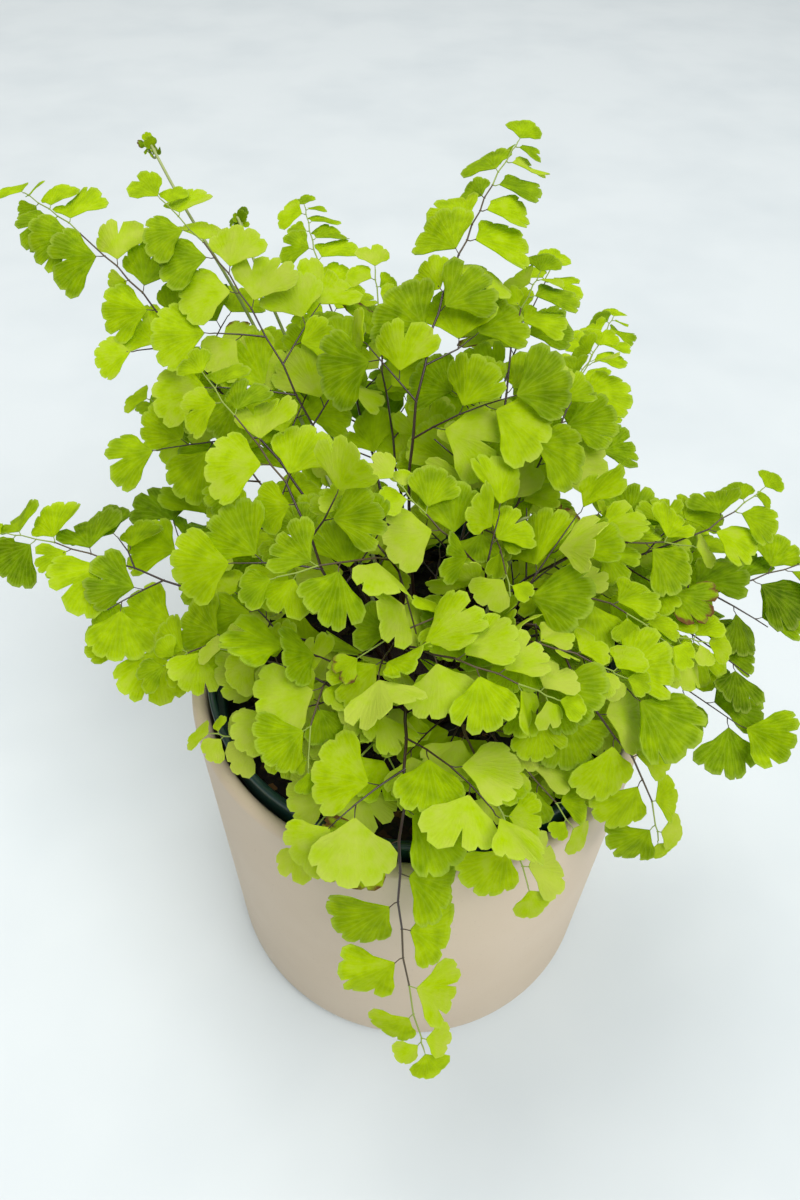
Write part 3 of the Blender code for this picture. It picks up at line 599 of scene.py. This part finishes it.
def foot(x, y):
    """A point just above the rootstock, where a stalk starts."""
    return x, y, SOIL_TOP + GAP + CROWN_H * (1 - (2 * math.hypot(x, y) / CROWN_D) ** 2) + 0.5


def rooted(route):
    """The path of a stalk, from its foot on the rootstock."""
    return Path([foot(*route[0])] + route[1:])


def dress(room, frond, half=CLEAR):
    """Grow the side branches and leaflets of one frond along its midrib."""
    rng = random.Random(frond["name"])
    path, start, own = frond["path"], frond["start"], frond["own"]
    reach, share, scale = frond["reach"], frond["share"], frond["scale"]
    blade = path.length - start
    ln = LEAF_L * scale * TIP_SIZE
    frond["end"] = grow_leaf(room, rng, own, path, path.length, 0, frond["face"], ln, ln, 0, half=half)
    where, side = start + 2.0, rng.choice((-1, 1))
    while where < path.length - 2.4:
        u = (where - start) / blade
        droop = hanging(path.way(where))
        far = reach * (1 - u / share) * rng.uniform(0.85, 1.1) if u < share else 0.0
        size = scale * (1 - TAPER * u ** 1.6)
        branch = leaf = None
        if far > LEAST_REACH:
            branch = grow_branch(room, rng, path, where, side, frond["face"], max(far, SHORT_REACH), size, half)
        if branch is None:
            ln = LEAF_L * size * rng.uniform(0.90, 1.08)
            leaf = grow_leaf(room, rng, own, path, where, side, frond["face"], ln,
                             ln * LEAF_RATIO * rng.uniform(0.95, 1.06),
                             LEAF_ANGLE + 12 * droop + rng.uniform(-6, 6), PAIRED, half)
        if branch or leaf:
            frond["spots"].append((where, side, leaf, branch))
        step = BRANCH_STEP if branch else LEAF_STEP
        where += step * (1 - 0.26 * u) * (0.5 + 0.5 * scale) * (1 + droop) * rng.uniform(0.92, 1.08)
        side = -side


def grow_plant():
    """Every frond as its stalk, midrib, side branches and leaflets, all clear of each other."""
    room = Room()
    for r0, r1, top, low in ((LIP_D / 2 - 3, LIP_D / 2 + 0.4, LIP_TOP + 0.5, SOIL_TOP - 6),
                             (LIP_D / 2, POT_D / 2 + 0.5, POT_H + 0.5, 60.0)):
        for k in range(WALL_PARTS):
            a, b = math.tau * k / WALL_PARTS, math.tau * (k + 1) / WALL_PARTS
            ring = [Vector((r * math.cos(q), r * math.sin(q), (top + low) / 2)) for r, q in
                    ((r0, a), (r1, a), (r1, b), (r0, b))]
            room.add(Room.slab(ring, Vector((0, 0, 1)), (top - low) / 2))
    room.add(Room.slab([Vector((MIX_R * math.cos(q), MIX_R * math.sin(q), SOIL_TOP)) for q in
                        (math.tau * k / MIX_PARTS for k in range(MIX_PARTS))], Vector((0, 0, 1)), 0.4))
    plant = []
    for name, route, bare, reach, share, scale, face in FRONDS:
        path = rooted(route)
        start = path.length * bare
        own = stem_slabs(path, 0.0, path.length, STALK_ROOM)
        room.blocks += own
        plant.append(dict(name=name, path=path, start=start, face=Vector(face).normalized(), spots=[], own=own,
                          reach=reach, share=share, scale=scale))
    for name, route, curl in SHOOTS:
        path = rooted(route)
        room.blocks += stem_slabs(path, 0.0, path.length, SHOOT_ROOM)
        tip = path.pts[-1]
        out = square_to(Vector((tip.x, tip.y, 0)), path.way(path.length))
        corner = out.cross(path.way(path.length)) * (curl + 1)
        room.add(Room.slab([tip - corner * 0.5, tip - corner * 0.5 + out * (2 * curl + 1),
                            tip + corner + out * (2 * curl + 1), tip + corner], path.way(path.length), curl + 1))
    for frond in plant:
        dress(room, frond)
    return plant, room


# Leaflets are really 0.2 mm thick, so more of them fit than the plain plates leave room for.  These fill the gaps
# along the same midribs and branches, and short inner fronds come up between the big ones.
THIN = 0.30            # half the space that one of these thin leaflets keeps clear
INNER_FRONDS, INNER_TRIES = 18, 80
# how far out along each midrib they go, as a share of the blade
FILLED = {"front_hanging": 0.15, "tall_back": 0.2, "upper_left_long": 0.25, "left_long": 0.3, "right_long": 0.3,
          "right_front_long": 0.35, "upper_left_inner": 0.15, "right_upright": 0.2, "back_far": 0.2,
          "back_middle": 0.1, "back_right": 0.2, "left_over_rim": 0.0, "front_left_low": 0.1, "left_low": 0.2}
FILLED_USUALLY, FILLED_INNER = 0.45, 0.75
SAME_SIDE, OTHER_SIDE = 6.2, 2.2       # least distance to the next leaflet on the same side and on the other
# fronds whose side branches stay open
OPEN = ("tall_back", "upper_left_long", "upper_left_inner", "right_upright", "back_far", "back_middle",
        "back_right", "front_hanging", "left_long", "left_over_rim", "front_left_low")


def fill_along(room, rng, path, first, last, face, spots, own, size, shrink):
    """Leaflets in the bare stretches of one midrib or branch."""
    where, side = first, 1
    while where < last:
        u = where / path.length
        if all(abs(where - spot[0]) > (SAME_SIDE if spot[1] == side else OTHER_SIDE) for spot in spots):
            ln = LEAF_L * size * (1 - shrink * u ** 1.6) * rng.uniform(0.85, 1.05)
            leaf = grow_leaf(room, rng, own, path, where, side, face, ln,
                             ln * LEAF_RATIO * rng.uniform(0.94, 1.06), LEAF_ANGLE + rng.uniform(-8, 8), PAIRED, THIN)
            if leaf:
                spots.append((where, side, leaf, None))
        where += rng.uniform(1.2, 1.8)
        side = -side


INNER_ROUTES = [
    [(6, -13), (8, -17, 140), (12, -25, 156), (20, -31, 163), (31, -34, 164), (43, -35, 159)],
    [(1, 1), (3, -2, 150), (8, -6, 170), (17, -9, 178), (28, -10, 180), (39, -9, 176)],
    [(-8, -9), (-14, -20, 142), (-20, -31, 156), (-24, -43, 159), (-25, -54, 153)],
    [(4, -7), (8, -12, 146), (12, -17, 160), (6, -24, 168), (-4, -30, 170), (-14, -35, 167)],
    [(8, 0), (14, -2, 144), (22, -8, 158), (32, -14, 164), (43, -20, 165), (54, -26, 160)],
    [(14, 3), (30, 6, 142), (48, 8, 155), (63, 8, 162), (75, 13, 167), (86, 22, 168)],
    [(2, 4), (6, 6, 150), (10, 4, 166), (14, -2, 172), (16, -10, 173), (17, -19, 169)],
    [(-4, 2), (-6, 2, 146), (-4, -3, 162), (2, -9, 168), (8, -16, 168), (12, -24, 164)]]


def grow_inner(room, k):
    """A short frond low in the clump, on the first route out of the rootstock that crosses nothing."""
    rng = random.Random("inner %d" % k)
    for trial in range(INNER_TRIES):
        if k < len(INNER_ROUTES):
            shift = [Vector((rng.uniform(-1, 1), rng.uniform(-1, 1), rng.uniform(-1, 1))) * 0.07 * trial
                     for _ in range(2)]
            start, *rest = INNER_ROUTES[k]
            path = Path([Vector(foot(*start)) + shift[0].xy.to_3d() * 0.5]
                        + [Vector(q) + shift[0].lerp(shift[1], c / 5) for c, q in enumerate(rest)])
            out = Vector((rest[-1][0], rest[-1][1], 0)).normalized()
        else:
            turn = math.tau * (k * 0.382 + rng.uniform(-0.04, 0.04))
            out = Vector((math.cos(turn), math.sin(turn), 0))
            reach, top, r = rng.uniform(34, 58), rng.uniform(134, 176) - 26 * max(0.0, out.y), rng.uniform(8, 16)
            bow = out.cross(Vector((0, 0, 1))) * rng.uniform(-7, 7)
            start = Vector(foot(*(out * r).xy))
            path = Path([start] + [
                out * (r + (reach - r) * a) + bow * a * a + Vector((0, 0, start.z + (top - start.z) * b))
                for a, b in ((0.16, 0.42), (0.36, 0.75), (0.60, 0.94), (0.82, 1.0), (1.0, 0.99))])
        own = stem_slabs(path, 0.0, path.length, INNER_ROOM)
        if all(room.clear(block) for block in own):
            break
    else:
        return None
    room.blocks += own
    frond = dict(name="inner_%d" % (k + 1), path=path, start=path.length * 0.45, spots=[], own=own,
                 face=(Vector((0, -0.25, 1)) + out * 0.15).normalized(), reach=rng.uniform(17, 24), share=0.75,
                 scale=rng.uniform(0.85, 1.05))
    dress(room, frond, THIN)
    return frond


plant, room = grow_plant()
inner = [frond for frond in (grow_inner(room, k) for k in range(INNER_FRONDS)) if frond]
for frond in plant + inner:
    rng = random.Random(frond["name"] + " gaps")
    for where, side, leaf, branch in list(frond["spots"]):
        if branch and frond["name"] not in OPEN:
            fill_along(room, rng, branch["path"], 4.5, branch["path"].length - 3.0, branch["face"], branch["spots"],
                       branch["own"], branch["size"], BRANCH_TAPER)
    path, first = frond["path"], frond["start"] + 3.0
    last = first + (path.length - first) * (
        FILLED_INNER if frond in inner else FILLED.get(frond["name"], FILLED_USUALLY))
    for side in (-1, 1):
        where = path.length - (2.0 if side > 0 else 3.0)
        if all(spot[1] != side or abs(spot[0] - where) > 3.2 for spot in frond["spots"]):
            ln = LEAF_L * frond["scale"] * rng.uniform(0.42, 0.5)
            leaf = grow_leaf(room, rng, frond["own"], path, where, side, frond["face"], ln, ln, LEAF_ANGLE, GENTLE,
                             THIN)
            if leaf:
                frond["spots"].append((where, side, leaf, None))
    fill_along(room, rng, path, first, last, frond["face"], frond["spots"], frond["own"], frond["scale"], TAPER)

# The fronds over the rim at the left are younger: their leaflets stay small, and the mix shows between them.
YOUNGER = {"left_over_rim": 0.74, "front_left_low": 0.86, "left_low": 0.86}


def leaves_of(frond):
    """The leaflets of a frond: the one at its tip, those on the midrib, then each branch's, its tip first."""
    leaves = [frond["end"]] + [leaf for where, side, leaf, branch in frond["spots"]]
    for where, side, leaf, branch in frond["spots"]:
        if branch:
            leaves += [branch["end"]] + [spot[2] for spot in branch["spots"]]
    return leaves


for frond in plant:
    for leaf in leaves_of(frond)[1:]:
        if leaf:
            leaf["length"] *= YOUNGER.get(frond["name"], 1.0)
            leaf["width"] *= YOUNGER.get(frond["name"], 1.0)

# ---- Fronds: stalks, midribs and branches -------------------------------------------------------
# The hard, polished wire of the plant.  It is brown-black and about 1.3 mm thick at the root, and it tapers to a
# green thread in the last part of each frond, which is still growing.
GREEN_FROM = {"left_over_rim": 0.30, "front_left_low": 0.45, "front_right_low": 0.62, "right_long": 0.90,
              "upper_left_long": 0.84, "back_far": 0.7, "right_back_low": 0.7}
GREEN_USUALLY = 0.86
TURNING = 0.14         # share of the path over which the brown turns green
STALK_R, TIP_R = 0.60, 0.16
BRANCH_R, BRANCH_TIP_R = 0.27, 0.15
FOOT_R = 0.13
ZIGZAG = 0.45
FAN_FOOT = 0.16        # share of a leaflet's length that is its bare foot


def wire(name, low_code, high_code, rough, coat):
    """Polished fern stalk: lacquered, with lengthwise tone changes about 6 mm long and a fine rib."""
    material, tree, shader, here = finish_of(
        name, {"Roughness": rough, "IOR": 1.5, "Coat Weight": coat, "Coat Roughness": 0.25})
    patch = node(tree, "TexNoise", {}, {"Vector": here, "Scale": 1 / 0.006, "Detail": 3.0})
    shade = node(tree, "Mix", RGBA, {0: patch.outputs["Fac"], 6: linear(low_code), 7: linear(high_code)})
    rib = node(tree, "TexNoise", {}, {"Vector": here, "Scale": 1 / 0.0005, "Detail": 1.0})
    skin = node(tree, "Bump", {}, {"Height": rib.outputs["Fac"], "Strength": 0.2, "Distance": 0.0001})
    feed(tree, shader, {"Base Color": shade.outputs[2], "Normal": skin.outputs["Normal"]})
    return material


grown_wire = wire("Polished_Black_Stalk", "1f110c", "40281c", 0.38, 0.2)
turning_wire = wire("Ripening_Brown_Stalk", "3a2a1c", "5f5132", 0.5, 0.05)
green_wire = wire("Young_Green_Stalk", "76882c", "9cb04a", 0.6, 0.0)


def tube(name, roundness):
    """An empty curve whose splines come out as round wires; their point radii are in millimetres."""
    curve = bpy.data.curves.new(name, "CURVE")
    curve.dimensions = "3D"
    curve.bevel_depth = MM
    curve.bevel_resolution = roundness
    curve.use_fill_caps = True
    return curve


def ripeness(share, turning, green):
    """The material slot of a wire: 0 grown, 1 turning brown, 2 still green."""
    return 0 if share < turning else 1 if share < green else 2


def strand(curve, points, radii, tone):
    """One tapering wire through points in millimetres, with the material slot for its tone."""
    line = curve.splines.new("POLY")
    line.points.add(len(points) - 1)
    line.material_index = tone
    for made, point, radius in zip(line.points, points, radii):
        made.co = (*(Vector(point) * MM), 1.0)
        made.radius = radius


def wiry(name, path, frond, green_from):
    """Every wire of one frond in one curve: stalk and midrib, side branches, and the feet of the leaflets."""
    curve = tube(name, 1)
    for material in (grown_wire, turning_wire, green_wire):
        curve.materials.append(material)
    turns = sorted((where, side) for where, side, leaf, branch in frond["spots"])
    marks = [(frond["start"] * k / 12, 0) for k in range(12)] + turns + [(path.length, 0)]
    points, radii = [], []
    for where, side in marks:
        t = path.way(where)
        out = t.cross(square_to(frond["face"], t))
        points.append(path.at(where) + out * (side * ZIGZAG * (1 - 0.6 * where / path.length)))
        radii.append(STALK_R + (TIP_R - STALK_R) * (where / path.length) ** 0.7)
    shares = [where / path.length for where, side in marks]
    turning = next(k for k, share in enumerate(shares) if share >= green_from - TURNING)
    green = max(turning + 1, next((k for k, share in enumerate(shares) if share >= green_from), len(marks) - 1))
    for first, last, tone in ((0, turning, 0), (turning, green, 1), (green, len(marks) - 1, 2)):
        if last > first:
            strand(curve, points[first:last + 1], radii[first:last + 1], tone)
    leaves = [(frond["end"], path.length)] + [(leaf, where) for where, side, leaf, branch in frond["spots"] if leaf]
    for where, side, leaf, branch in frond["spots"]:
        if branch:
            stem = branch["path"]
            nodes = [0.0] + sorted(spot[0] for spot in branch["spots"]) + [stem.length]
            tone = ripeness(where / path.length, green_from - TURNING, green_from + 0.1)
            strand(curve, [stem.at(w) for w in nodes],
                   [BRANCH_R + (BRANCH_TIP_R - BRANCH_R) * w / stem.length for w in nodes], tone)
            leaves += [(spot[2], where + spot[0] * 0.7) for spot in branch["spots"]]
            leaves.append((branch["end"], where + stem.length))
    for leaf, where in leaves:
        if leaf:
            tone = ripeness(where / path.length, green_from - 0.2, green_from)
            sag = leaf["n"] * -0.12 * leaf["lead"]
            base, d = leaf["base"], leaf["d"]
            strand(curve, [base, base + d * (leaf["length"] * FAN_FOOT * 0.5) + sag,
                           base + d * (leaf["length"] * FAN_FOOT + 0.25)],
                   [FOOT_R * 1.25, FOOT_R, FOOT_R * 0.8], tone)
    return curve


# ---- Fronds: leaflets ---------------------------------------------------------------------------
# Each leaflet is a lopsided fan 5 to 22 mm across, 0.2 mm thick and soft as paper.  Its outer margin is cut into
# rounded lobes, and its veins fork from the foot to the margin with no middle rib.
LEAF_THICK = 0.016     # share of the leaflet's length, 0.2 mm on a middling one
FAN_LOW, FAN_HIGH = math.radians(-61), math.radians(55)
FAN_R = 0.86
LOBE_PARTS = 4
FULL_L = 10.5          # leaflets longer than this have a full form, with more lobes
SCORCHED = 0.02        # share of the leaflets with a dry brown edge
SETTLE_TRIES, FULL_TRIES, SHRINK = 9, 3, 0.05
SMOOTH = {"interpolation_type": "SMOOTHSTEP"}

# fern leaf tissue: thin, matte and very translucent, lime green by reflection and yellower with light behind it.
# Real veins are 0.1 mm wide; they are drawn at 0.2 mm so that they show.
tissue, tree, shader, here = finish_of("Fern_Leaf_Tissue", {"Roughness": 0.6, "IOR": 1.42,
                                                            "Specular IOR Level": 0.10})
fan = node(tree, "SeparateXYZ", {}, {"Vector": node(tree, "UVMap", {"uv_map": "fan"}, {}).outputs["UV"]})
round_fan, out_fan = fan.outputs["X"], fan.outputs["Y"]
spread = node(tree, "Math", {"operation": "MULTIPLY"}, {0: round_fan, 1: 4.0})
vein = node(tree, "Math", {"operation": "FRACT"}, {0: spread.outputs[0]})
for near, far, part in ((-1.0, -0.5, 0.5), (0.08, 0.36, 0.25), (0.34, 0.62, 0.125), (0.60, 0.90, 0.0625)):
    fork = node(tree, "MapRange", {}, {"Value": out_fan, "From Min": near, "From Max": far, "To Max": part})
    aside = node(tree, "Math", {"operation": "SUBTRACT"}, {0: vein.outputs[0], 1: fork.outputs["Result"]})
    vein = node(tree, "Math", {"operation": "ABSOLUTE"}, {0: aside.outputs[0]})
away = node(tree, "Math", {"operation": "MULTIPLY"}, {0: vein.outputs[0], 1: out_fan})
veined = node(tree, "MapRange", SMOOTH, {"Value": away.outputs[0], "From Min": 0.012, "From Max": 0.040,
                                         "To Min": 1.0, "To Max": 0.0})
mottle = node(tree, "TexNoise", {}, {"Vector": here, "Scale": 1 / 0.0035, "Detail": 4.0, "Roughness": 0.55})
# the tone attribute carries each leaflet's own variation, plus painted light on the front fronds and painted shade on
# the back and far ones
tone = node(tree, "Attribute", {"attribute_name": "tone"}, {}).outputs["Fac"]
drift = node(tree, "MapRange", {}, {"Value": mottle.outputs["Fac"], "From Min": 0.3, "From Max": 0.7,
                                    "To Min": -0.16, "To Max": 0.16})
greener = node(tree, "Math", {"operation": "ADD", "use_clamp": True}, {0: tone, 1: drift.outputs["Result"]})
front = node(tree, "ValToRGB", {}, {"Fac": greener.outputs[0]})
behind = node(tree, "ValToRGB", {}, {"Fac": greener.outputs[0]})
for ramp, codes in ((front.color_ramp, ("cfda58", "bdd600", "87a400", "5a7a00")),
                    (behind.color_ramp, ("d8e652", "d8ea00", "accc00", "84a400"))):
    for spot, code in zip((0.0, 0.3, 0.7, 1.0), codes):
        stop = ramp.elements[-round(spot)] if spot in (0.0, 1.0) else ramp.elements.new(spot)
        stop.color = linear(code)
faint = node(tree, "Math", {"operation": "MULTIPLY"}, {0: veined.outputs["Result"], 1: 0.16})
lined = node(tree, "Mix", RGBA, {0: faint.outputs[0], 6: front.outputs["Color"], 7: linear("cfe24e")})
edge = node(tree, "Attribute", {"attribute_name": "edge"}, {}).outputs["Fac"]
rim = node(tree, "MapRange", SMOOTH, {"Value": edge, "From Min": 0.90, "From Max": 0.98, "To Max": 0.30})
rimmed = node(tree, "Mix", RGBA, {0: rim.outputs["Result"], 6: lined.outputs[2], 7: linear("d8e673")})
scorch = node(tree, "Attribute", {"attribute_name": "scorch"}, {}).outputs["Fac"]
ragged = node(tree, "TexNoise", {}, {"Vector": here, "Scale": 1 / 0.003, "Detail": 3.0})
reach_in = node(tree, "Math", {"operation": "MULTIPLY_ADD"}, {0: ragged.outputs["Fac"], 1: 0.6, 2: edge})
dry = node(tree, "MapRange", {}, {"Value": reach_in.outputs[0], "From Min": 1.18, "From Max": 1.30})
dried = node(tree, "Math", {"operation": "MULTIPLY"}, {0: dry.outputs["Result"], 1: scorch})
skin_colour = node(tree, "Mix", RGBA, {0: dried.outputs[0], 6: rimmed.outputs[2], 7: linear("8a6436")})
glow_colour = node(tree, "Mix", RGBA, {0: dried.outputs[0], 6: behind.outputs["Color"], 7: linear("7a5428")})
raised = node(tree, "Math", {"operation": "MULTIPLY_ADD"}, {0: mottle.outputs["Fac"], 1: 0.8,
                                                            2: veined.outputs["Result"]})
skin = node(tree, "Bump", {}, {"Height": raised.outputs[0], "Strength": 0.30, "Distance": 0.00012})
feed(tree, shader, {"Base Color": skin_colour.outputs[2], "Normal": skin.outputs["Normal"]})
glow = node(tree, "BsdfTranslucent", {}, {"Color": glow_colour.outputs[2], "Normal": skin.outputs["Normal"]})
leafy = node(tree, "MixShader", {}, {0: 0.5, 1: shader.outputs["BSDF"], 2: glow.outputs["BSDF"]})
tree.links.new(leafy.outputs["Shader"], tree.nodes["Material Output"].inputs["Surface"])


def leaflet_form(name, notches, droop, cup, wave, phase):
    """A closed leaflet of unit length, spread along +X from its foot; notches are (place across, depth)."""
    lobes = len(notches) - 1
    columns = lobes * LOBE_PARTS
    bm = bmesh.new()
    fan_map = bm.loops.layers.uv.new("fan")
    edge_layer = bm.verts.layers.float.new("edge")
    bm.verts.layers.float.new("tone")
    bm.verts.layers.float.new("scorch")
    bmesh.ops.create_grid(bm, x_segments=columns, y_segments=2, size=1.0)
    where = {}
    for vert in bm.verts:
        column, row = round((vert.co.x + 1) / 2 * columns), round(vert.co.y + 1)
        lobe = min(column // LOBE_PARTS, lobes - 1)
        t = 2 * (column - lobe * LOBE_PARTS) / LOBE_PARTS - 1
        swing = t * math.pi / 2
        (left, left_cut), (right_end, right_cut) = notches[lobe], notches[lobe + 1]
        share = left + (right_end - left) * (0.5 + 0.5 * (math.sin(swing) if row == 2 else t))
        turn = FAN_LOW + (FAN_HIGH - FAN_LOW) * share
        full = 1.03 - 0.13 * share ** 2 - 0.20 * abs(2 * share - 1) ** 5
        if row == 1:
            turn *= 0.92
        cut = left_cut if t < 0 else right_cut
        r = (0.0, 0.5, 1.0 - cut * (1 - max(0.0, math.cos(swing)) ** 0.7))[row] * full
        bend = -droop * r * r + cup * (r * math.sin(turn)) ** 2 + wave * r * r * math.sin(turn * 4.2 + phase)
        vert.co = Vector((FAN_FOOT + FAN_R * r * math.cos(turn), FAN_R * r * math.sin(turn), bend))
        vert[edge_layer] = row / 2
        where[vert] = (share, r)
    for face in bm.faces:
        for loop in face.loops:
            loop[fan_map].uv = where[loop.vert]
        face.smooth = True
    bmesh.ops.remove_doubles(bm, verts=bm.verts, dist=1e-5)
    bmesh.ops.recalc_face_normals(bm, faces=bm.faces)
    if sum(face.normal.z for face in bm.faces) < 0:
        bmesh.ops.reverse_faces(bm, faces=bm.faces)
    bmesh.ops.solidify(bm, geom=bm.faces[:], thickness=LEAF_THICK)
    for line in bm.edges:
        line.smooth = line.calc_face_angle(0.0) < 1.0
    return mesh_from(name, bm)


full_forms = [
    leaflet_form("fan_cleft", ((0, 0.24), (0.20, 0.10), (0.50, 0.40), (0.66, 0.08), (0.84, 0.11), (1, 0.22)),
                 0.06, -0.16, 0.09, 0.4),
    leaflet_form("fan_even", ((0, 0.22), (0.22, 0.09), (0.42, 0.12), (0.62, 0.08), (0.80, 0.11), (1, 0.22)),
                 0.12, 0.14, 0.08, 2.0),
    leaflet_form("fan_ruffled", ((0, 0.24), (0.17, 0.11), (0.36, 0.20), (0.54, 0.08), (0.76, 0.24), (1, 0.22)),
                 0.04, -0.10, 0.13, 3.1),
    leaflet_form("fan_two_clefts", ((0, 0.22), (0.18, 0.08), (0.36, 0.32), (0.52, 0.09), (0.70, 0.34), (1, 0.20)),
                 0.10, 0.12, 0.10, 4.4),
    leaflet_form("fan_broad", ((0, 0.24), (0.24, 0.09), (0.46, 0.08), (0.68, 0.16), (0.86, 0.09), (1, 0.22)),
                 0.14, -0.18, 0.07, 5.2),
    leaflet_form("fan_fine", ((0, 0.22), (0.16, 0.09), (0.33, 0.11), (0.50, 0.08), (0.68, 0.12), (0.84, 0.09),
                              (1, 0.22)), 0.08, 0.10, 0.09, 1.3),
    leaflet_form("fan_side_cleft", ((0, 0.22), (0.24, 0.30), (0.42, 0.09), (0.62, 0.12), (0.82, 0.09), (1, 0.22)),
                 0.09, -0.12, 0.12, 0.0)]
small_forms = [
    leaflet_form("wedge_plain", ((0, 0.26), (0.34, 0.07), (0.66, 0.09), (1, 0.24)), 0.08, -0.12, 0.04, 1.0),
    leaflet_form("wedge_lobed", ((0, 0.26), (0.30, 0.09), (0.56, 0.15), (1, 0.24)), 0.12, 0.10, 0.06, 2.6),
    leaflet_form("wedge_cleft", ((0, 0.24), (0.46, 0.26), (0.74, 0.11), (1, 0.24)), 0.06, -0.10, 0.06, 0.2)]


def surface(mesh, pose):
    """The block that a mesh fills in this pose."""
    return block_of([pose @ vert.co for vert in mesh.vertices], [face.vertices[:] for face in mesh.polygons])


settled = Room()
for wall in (cachepot.data, nursery.data, bed):
    settled.add(surface(wall, Matrix()))


def settle(leaf, forms, first):
    """The form and pose of one leaflet: another form, or a little smaller, where it would cross what is there."""
    for k in range(SETTLE_TRIES):
        form = forms[(first + k) % len(forms)]
        pose = Matrix((leaf["d"] * leaf["length"], leaf["v"] * (leaf["width"] / LEAF_RATIO),
                       leaf["n"] * leaf["length"])).transposed().to_4x4()
        pose @= Matrix.Scale(1 - SHRINK * max(0, k - FULL_TRIES + 1), 4)
        pose.translation = leaf["base"]
        pose = Matrix.Scale(MM, 4) @ pose
        block = surface(form, pose)
        if settled.clear(block):
            break
    settled.add(block)
    return form, pose


def leafy_mesh(name, leaves, palest, deepest):
    """Leaflets in one mesh, each a copy of one of the forms."""
    rng = random.Random(name)
    bm = bmesh.new()
    for leaf in leaves:
        forms = full_forms if leaf["length"] > FULL_L else small_forms
        form, pose = settle(leaf, forms, rng.randrange(len(forms)))
        # tone drawn inside the frond's range, which holds painted light on front fronds and painted shade on back and
        # far fronds
        tone, scorched = max(0.0, rng.uniform(palest, deepest)), rng.random() < SCORCHED
        first_vert, first_face = len(bm.verts), len(bm.faces)
        bm.from_mesh(form)
        bm.verts.ensure_lookup_table()
        bm.faces.ensure_lookup_table()
        made, skins = bm.verts[first_vert:], bm.faces[first_face:]
        tone_layer, scorch_layer = bm.verts.layers.float["tone"], bm.verts.layers.float["scorch"]
        for vert in made:
            vert[tone_layer] = tone
            vert[scorch_layer] = float(scorched)
        bmesh.ops.transform(bm, matrix=pose, verts=made)
        if pose.determinant() < 0:
            bmesh.ops.reverse_faces(bm, faces=skins)
    return mesh_from(name, bm)


# palest and deepest tone of a frond's leaflets, on the scale of the colour ramps.  The ranges are set by where
# a frond stands: the low front fronds are paler with painted light, and the back, far and long side fronds deeper
# with painted shade; the spread inside each range is the leaflets' own variation
USUAL_TONES = (0.05, 0.65)
TONES_WITH_PAINTED_LIGHT_AND_SHADE = {"upper_left_long": (0.1, 0.75), "back_far": (0.3, 0.9), "left_long": (0.25, 0.9),
         "right_long": (0.35, 0.95), "right_back_low": (0.3, 0.9), "tall_back": (0.15, 0.7),
         "front_hanging": (0.05, 0.55), "left_over_rim": (-0.2, 0.3), "front_left_low": (-0.15, 0.35),
         "front_right_low": (-0.1, 0.4), "centre_front": (-0.1, 0.45), "right_low": (-0.05, 0.45)}
for frond in plant + inner:
    name = frond["name"]
    stems = stand(name + "_stems", wiry(name + "_stems", frond["path"], frond, GREEN_FROM.get(name, GREEN_USUALLY)),
                  None)
    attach(stems, "root")
    if frond in plant:
        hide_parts(name + "_stalk")
    leaflets = stand(name + "_leaflets",
                     leafy_mesh(name + "_leaflets", [leaf for leaf in leaves_of(frond) if leaf],
                                *TONES_WITH_PAINTED_LIGHT_AND_SHADE.get(name, USUAL_TONES)), tissue)
    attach(leaflets, "root")
    if frond in plant:
        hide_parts(name + "_blade")

# ---- Young shoots -------------------------------------------------------------------------------
# Soft green-brown stalks, each with its tip still rolled up.  The two tall ones carry their first leaflets, 3 to
# 4 mm long, in a tuft round the curl.
SHOOT_R, CURL_R = 0.62, 0.40
STALK_PARTS, CURL_PARTS, CURLED = 16, 24, math.radians(520)
TALL = 80.0            # shoots longer than this carry buds
BUDS = 9
BUD_L = 3.6
shoot_wire = wire("Soft_Young_Shoot", "8a9550", "adb878", 0.6, 0.0)
for name, route, curl in SHOOTS:
    path = rooted(route)
    t, tip = path.way(path.length), path.pts[-1]
    out = square_to(Vector((tip.x, tip.y, 0)), t)
    points = [path.at(path.length * k / STALK_PARTS) for k in range(STALK_PARTS + 1)]
    radii = [SHOOT_R + (CURL_R - SHOOT_R) * k / STALK_PARTS for k in range(STALK_PARTS + 1)]
    for k in range(1, CURL_PARTS + 1):
        a = k / CURL_PARTS * CURLED
        r = curl * (1 - 0.68 * k / CURL_PARTS)
        points.append(tip + out * (curl - r * math.cos(a)) + t * (r * math.sin(a)) + out.cross(t) * (0.05 * k))
        radii.append(CURL_R - 0.008 * k)
    curve = tube(name + "_crozier", 2)
    rng = random.Random(name)
    buds = []
    if path.length > TALL:
        for k in range(BUDS):
            heart = points[STALK_PARTS + 1 + 2 * k]
            d = (t * rng.uniform(0.1, 0.9) + out * rng.uniform(-1, 1)
                 + out.cross(t) * rng.uniform(-1, 1)).normalized()
            n = square_to(Vector((rng.uniform(-0.4, 0.4), -0.4, 1.0)), d)
            size = BUD_L * rng.uniform(0.75, 1.15)
            buds.append(dict(base=heart, d=d, v=n.cross(d), n=n, length=size, width=size * rng.uniform(0.8, 1.1)))
            strand(curve, [heart, heart + d * (size * FAN_FOOT + 0.1)], [0.2, 0.14], 0)
    strand(curve, points, radii, 0)
    crozier = stand(name + "_crozier", curve, shoot_wire)
    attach(crozier, "root")
    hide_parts(name)
    if buds:
        tuft = stand(name + "_first_leaflets", leafy_mesh(name + "_first_leaflets", buds, 0.2, 0.9), tissue)
        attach(tuft, "root")
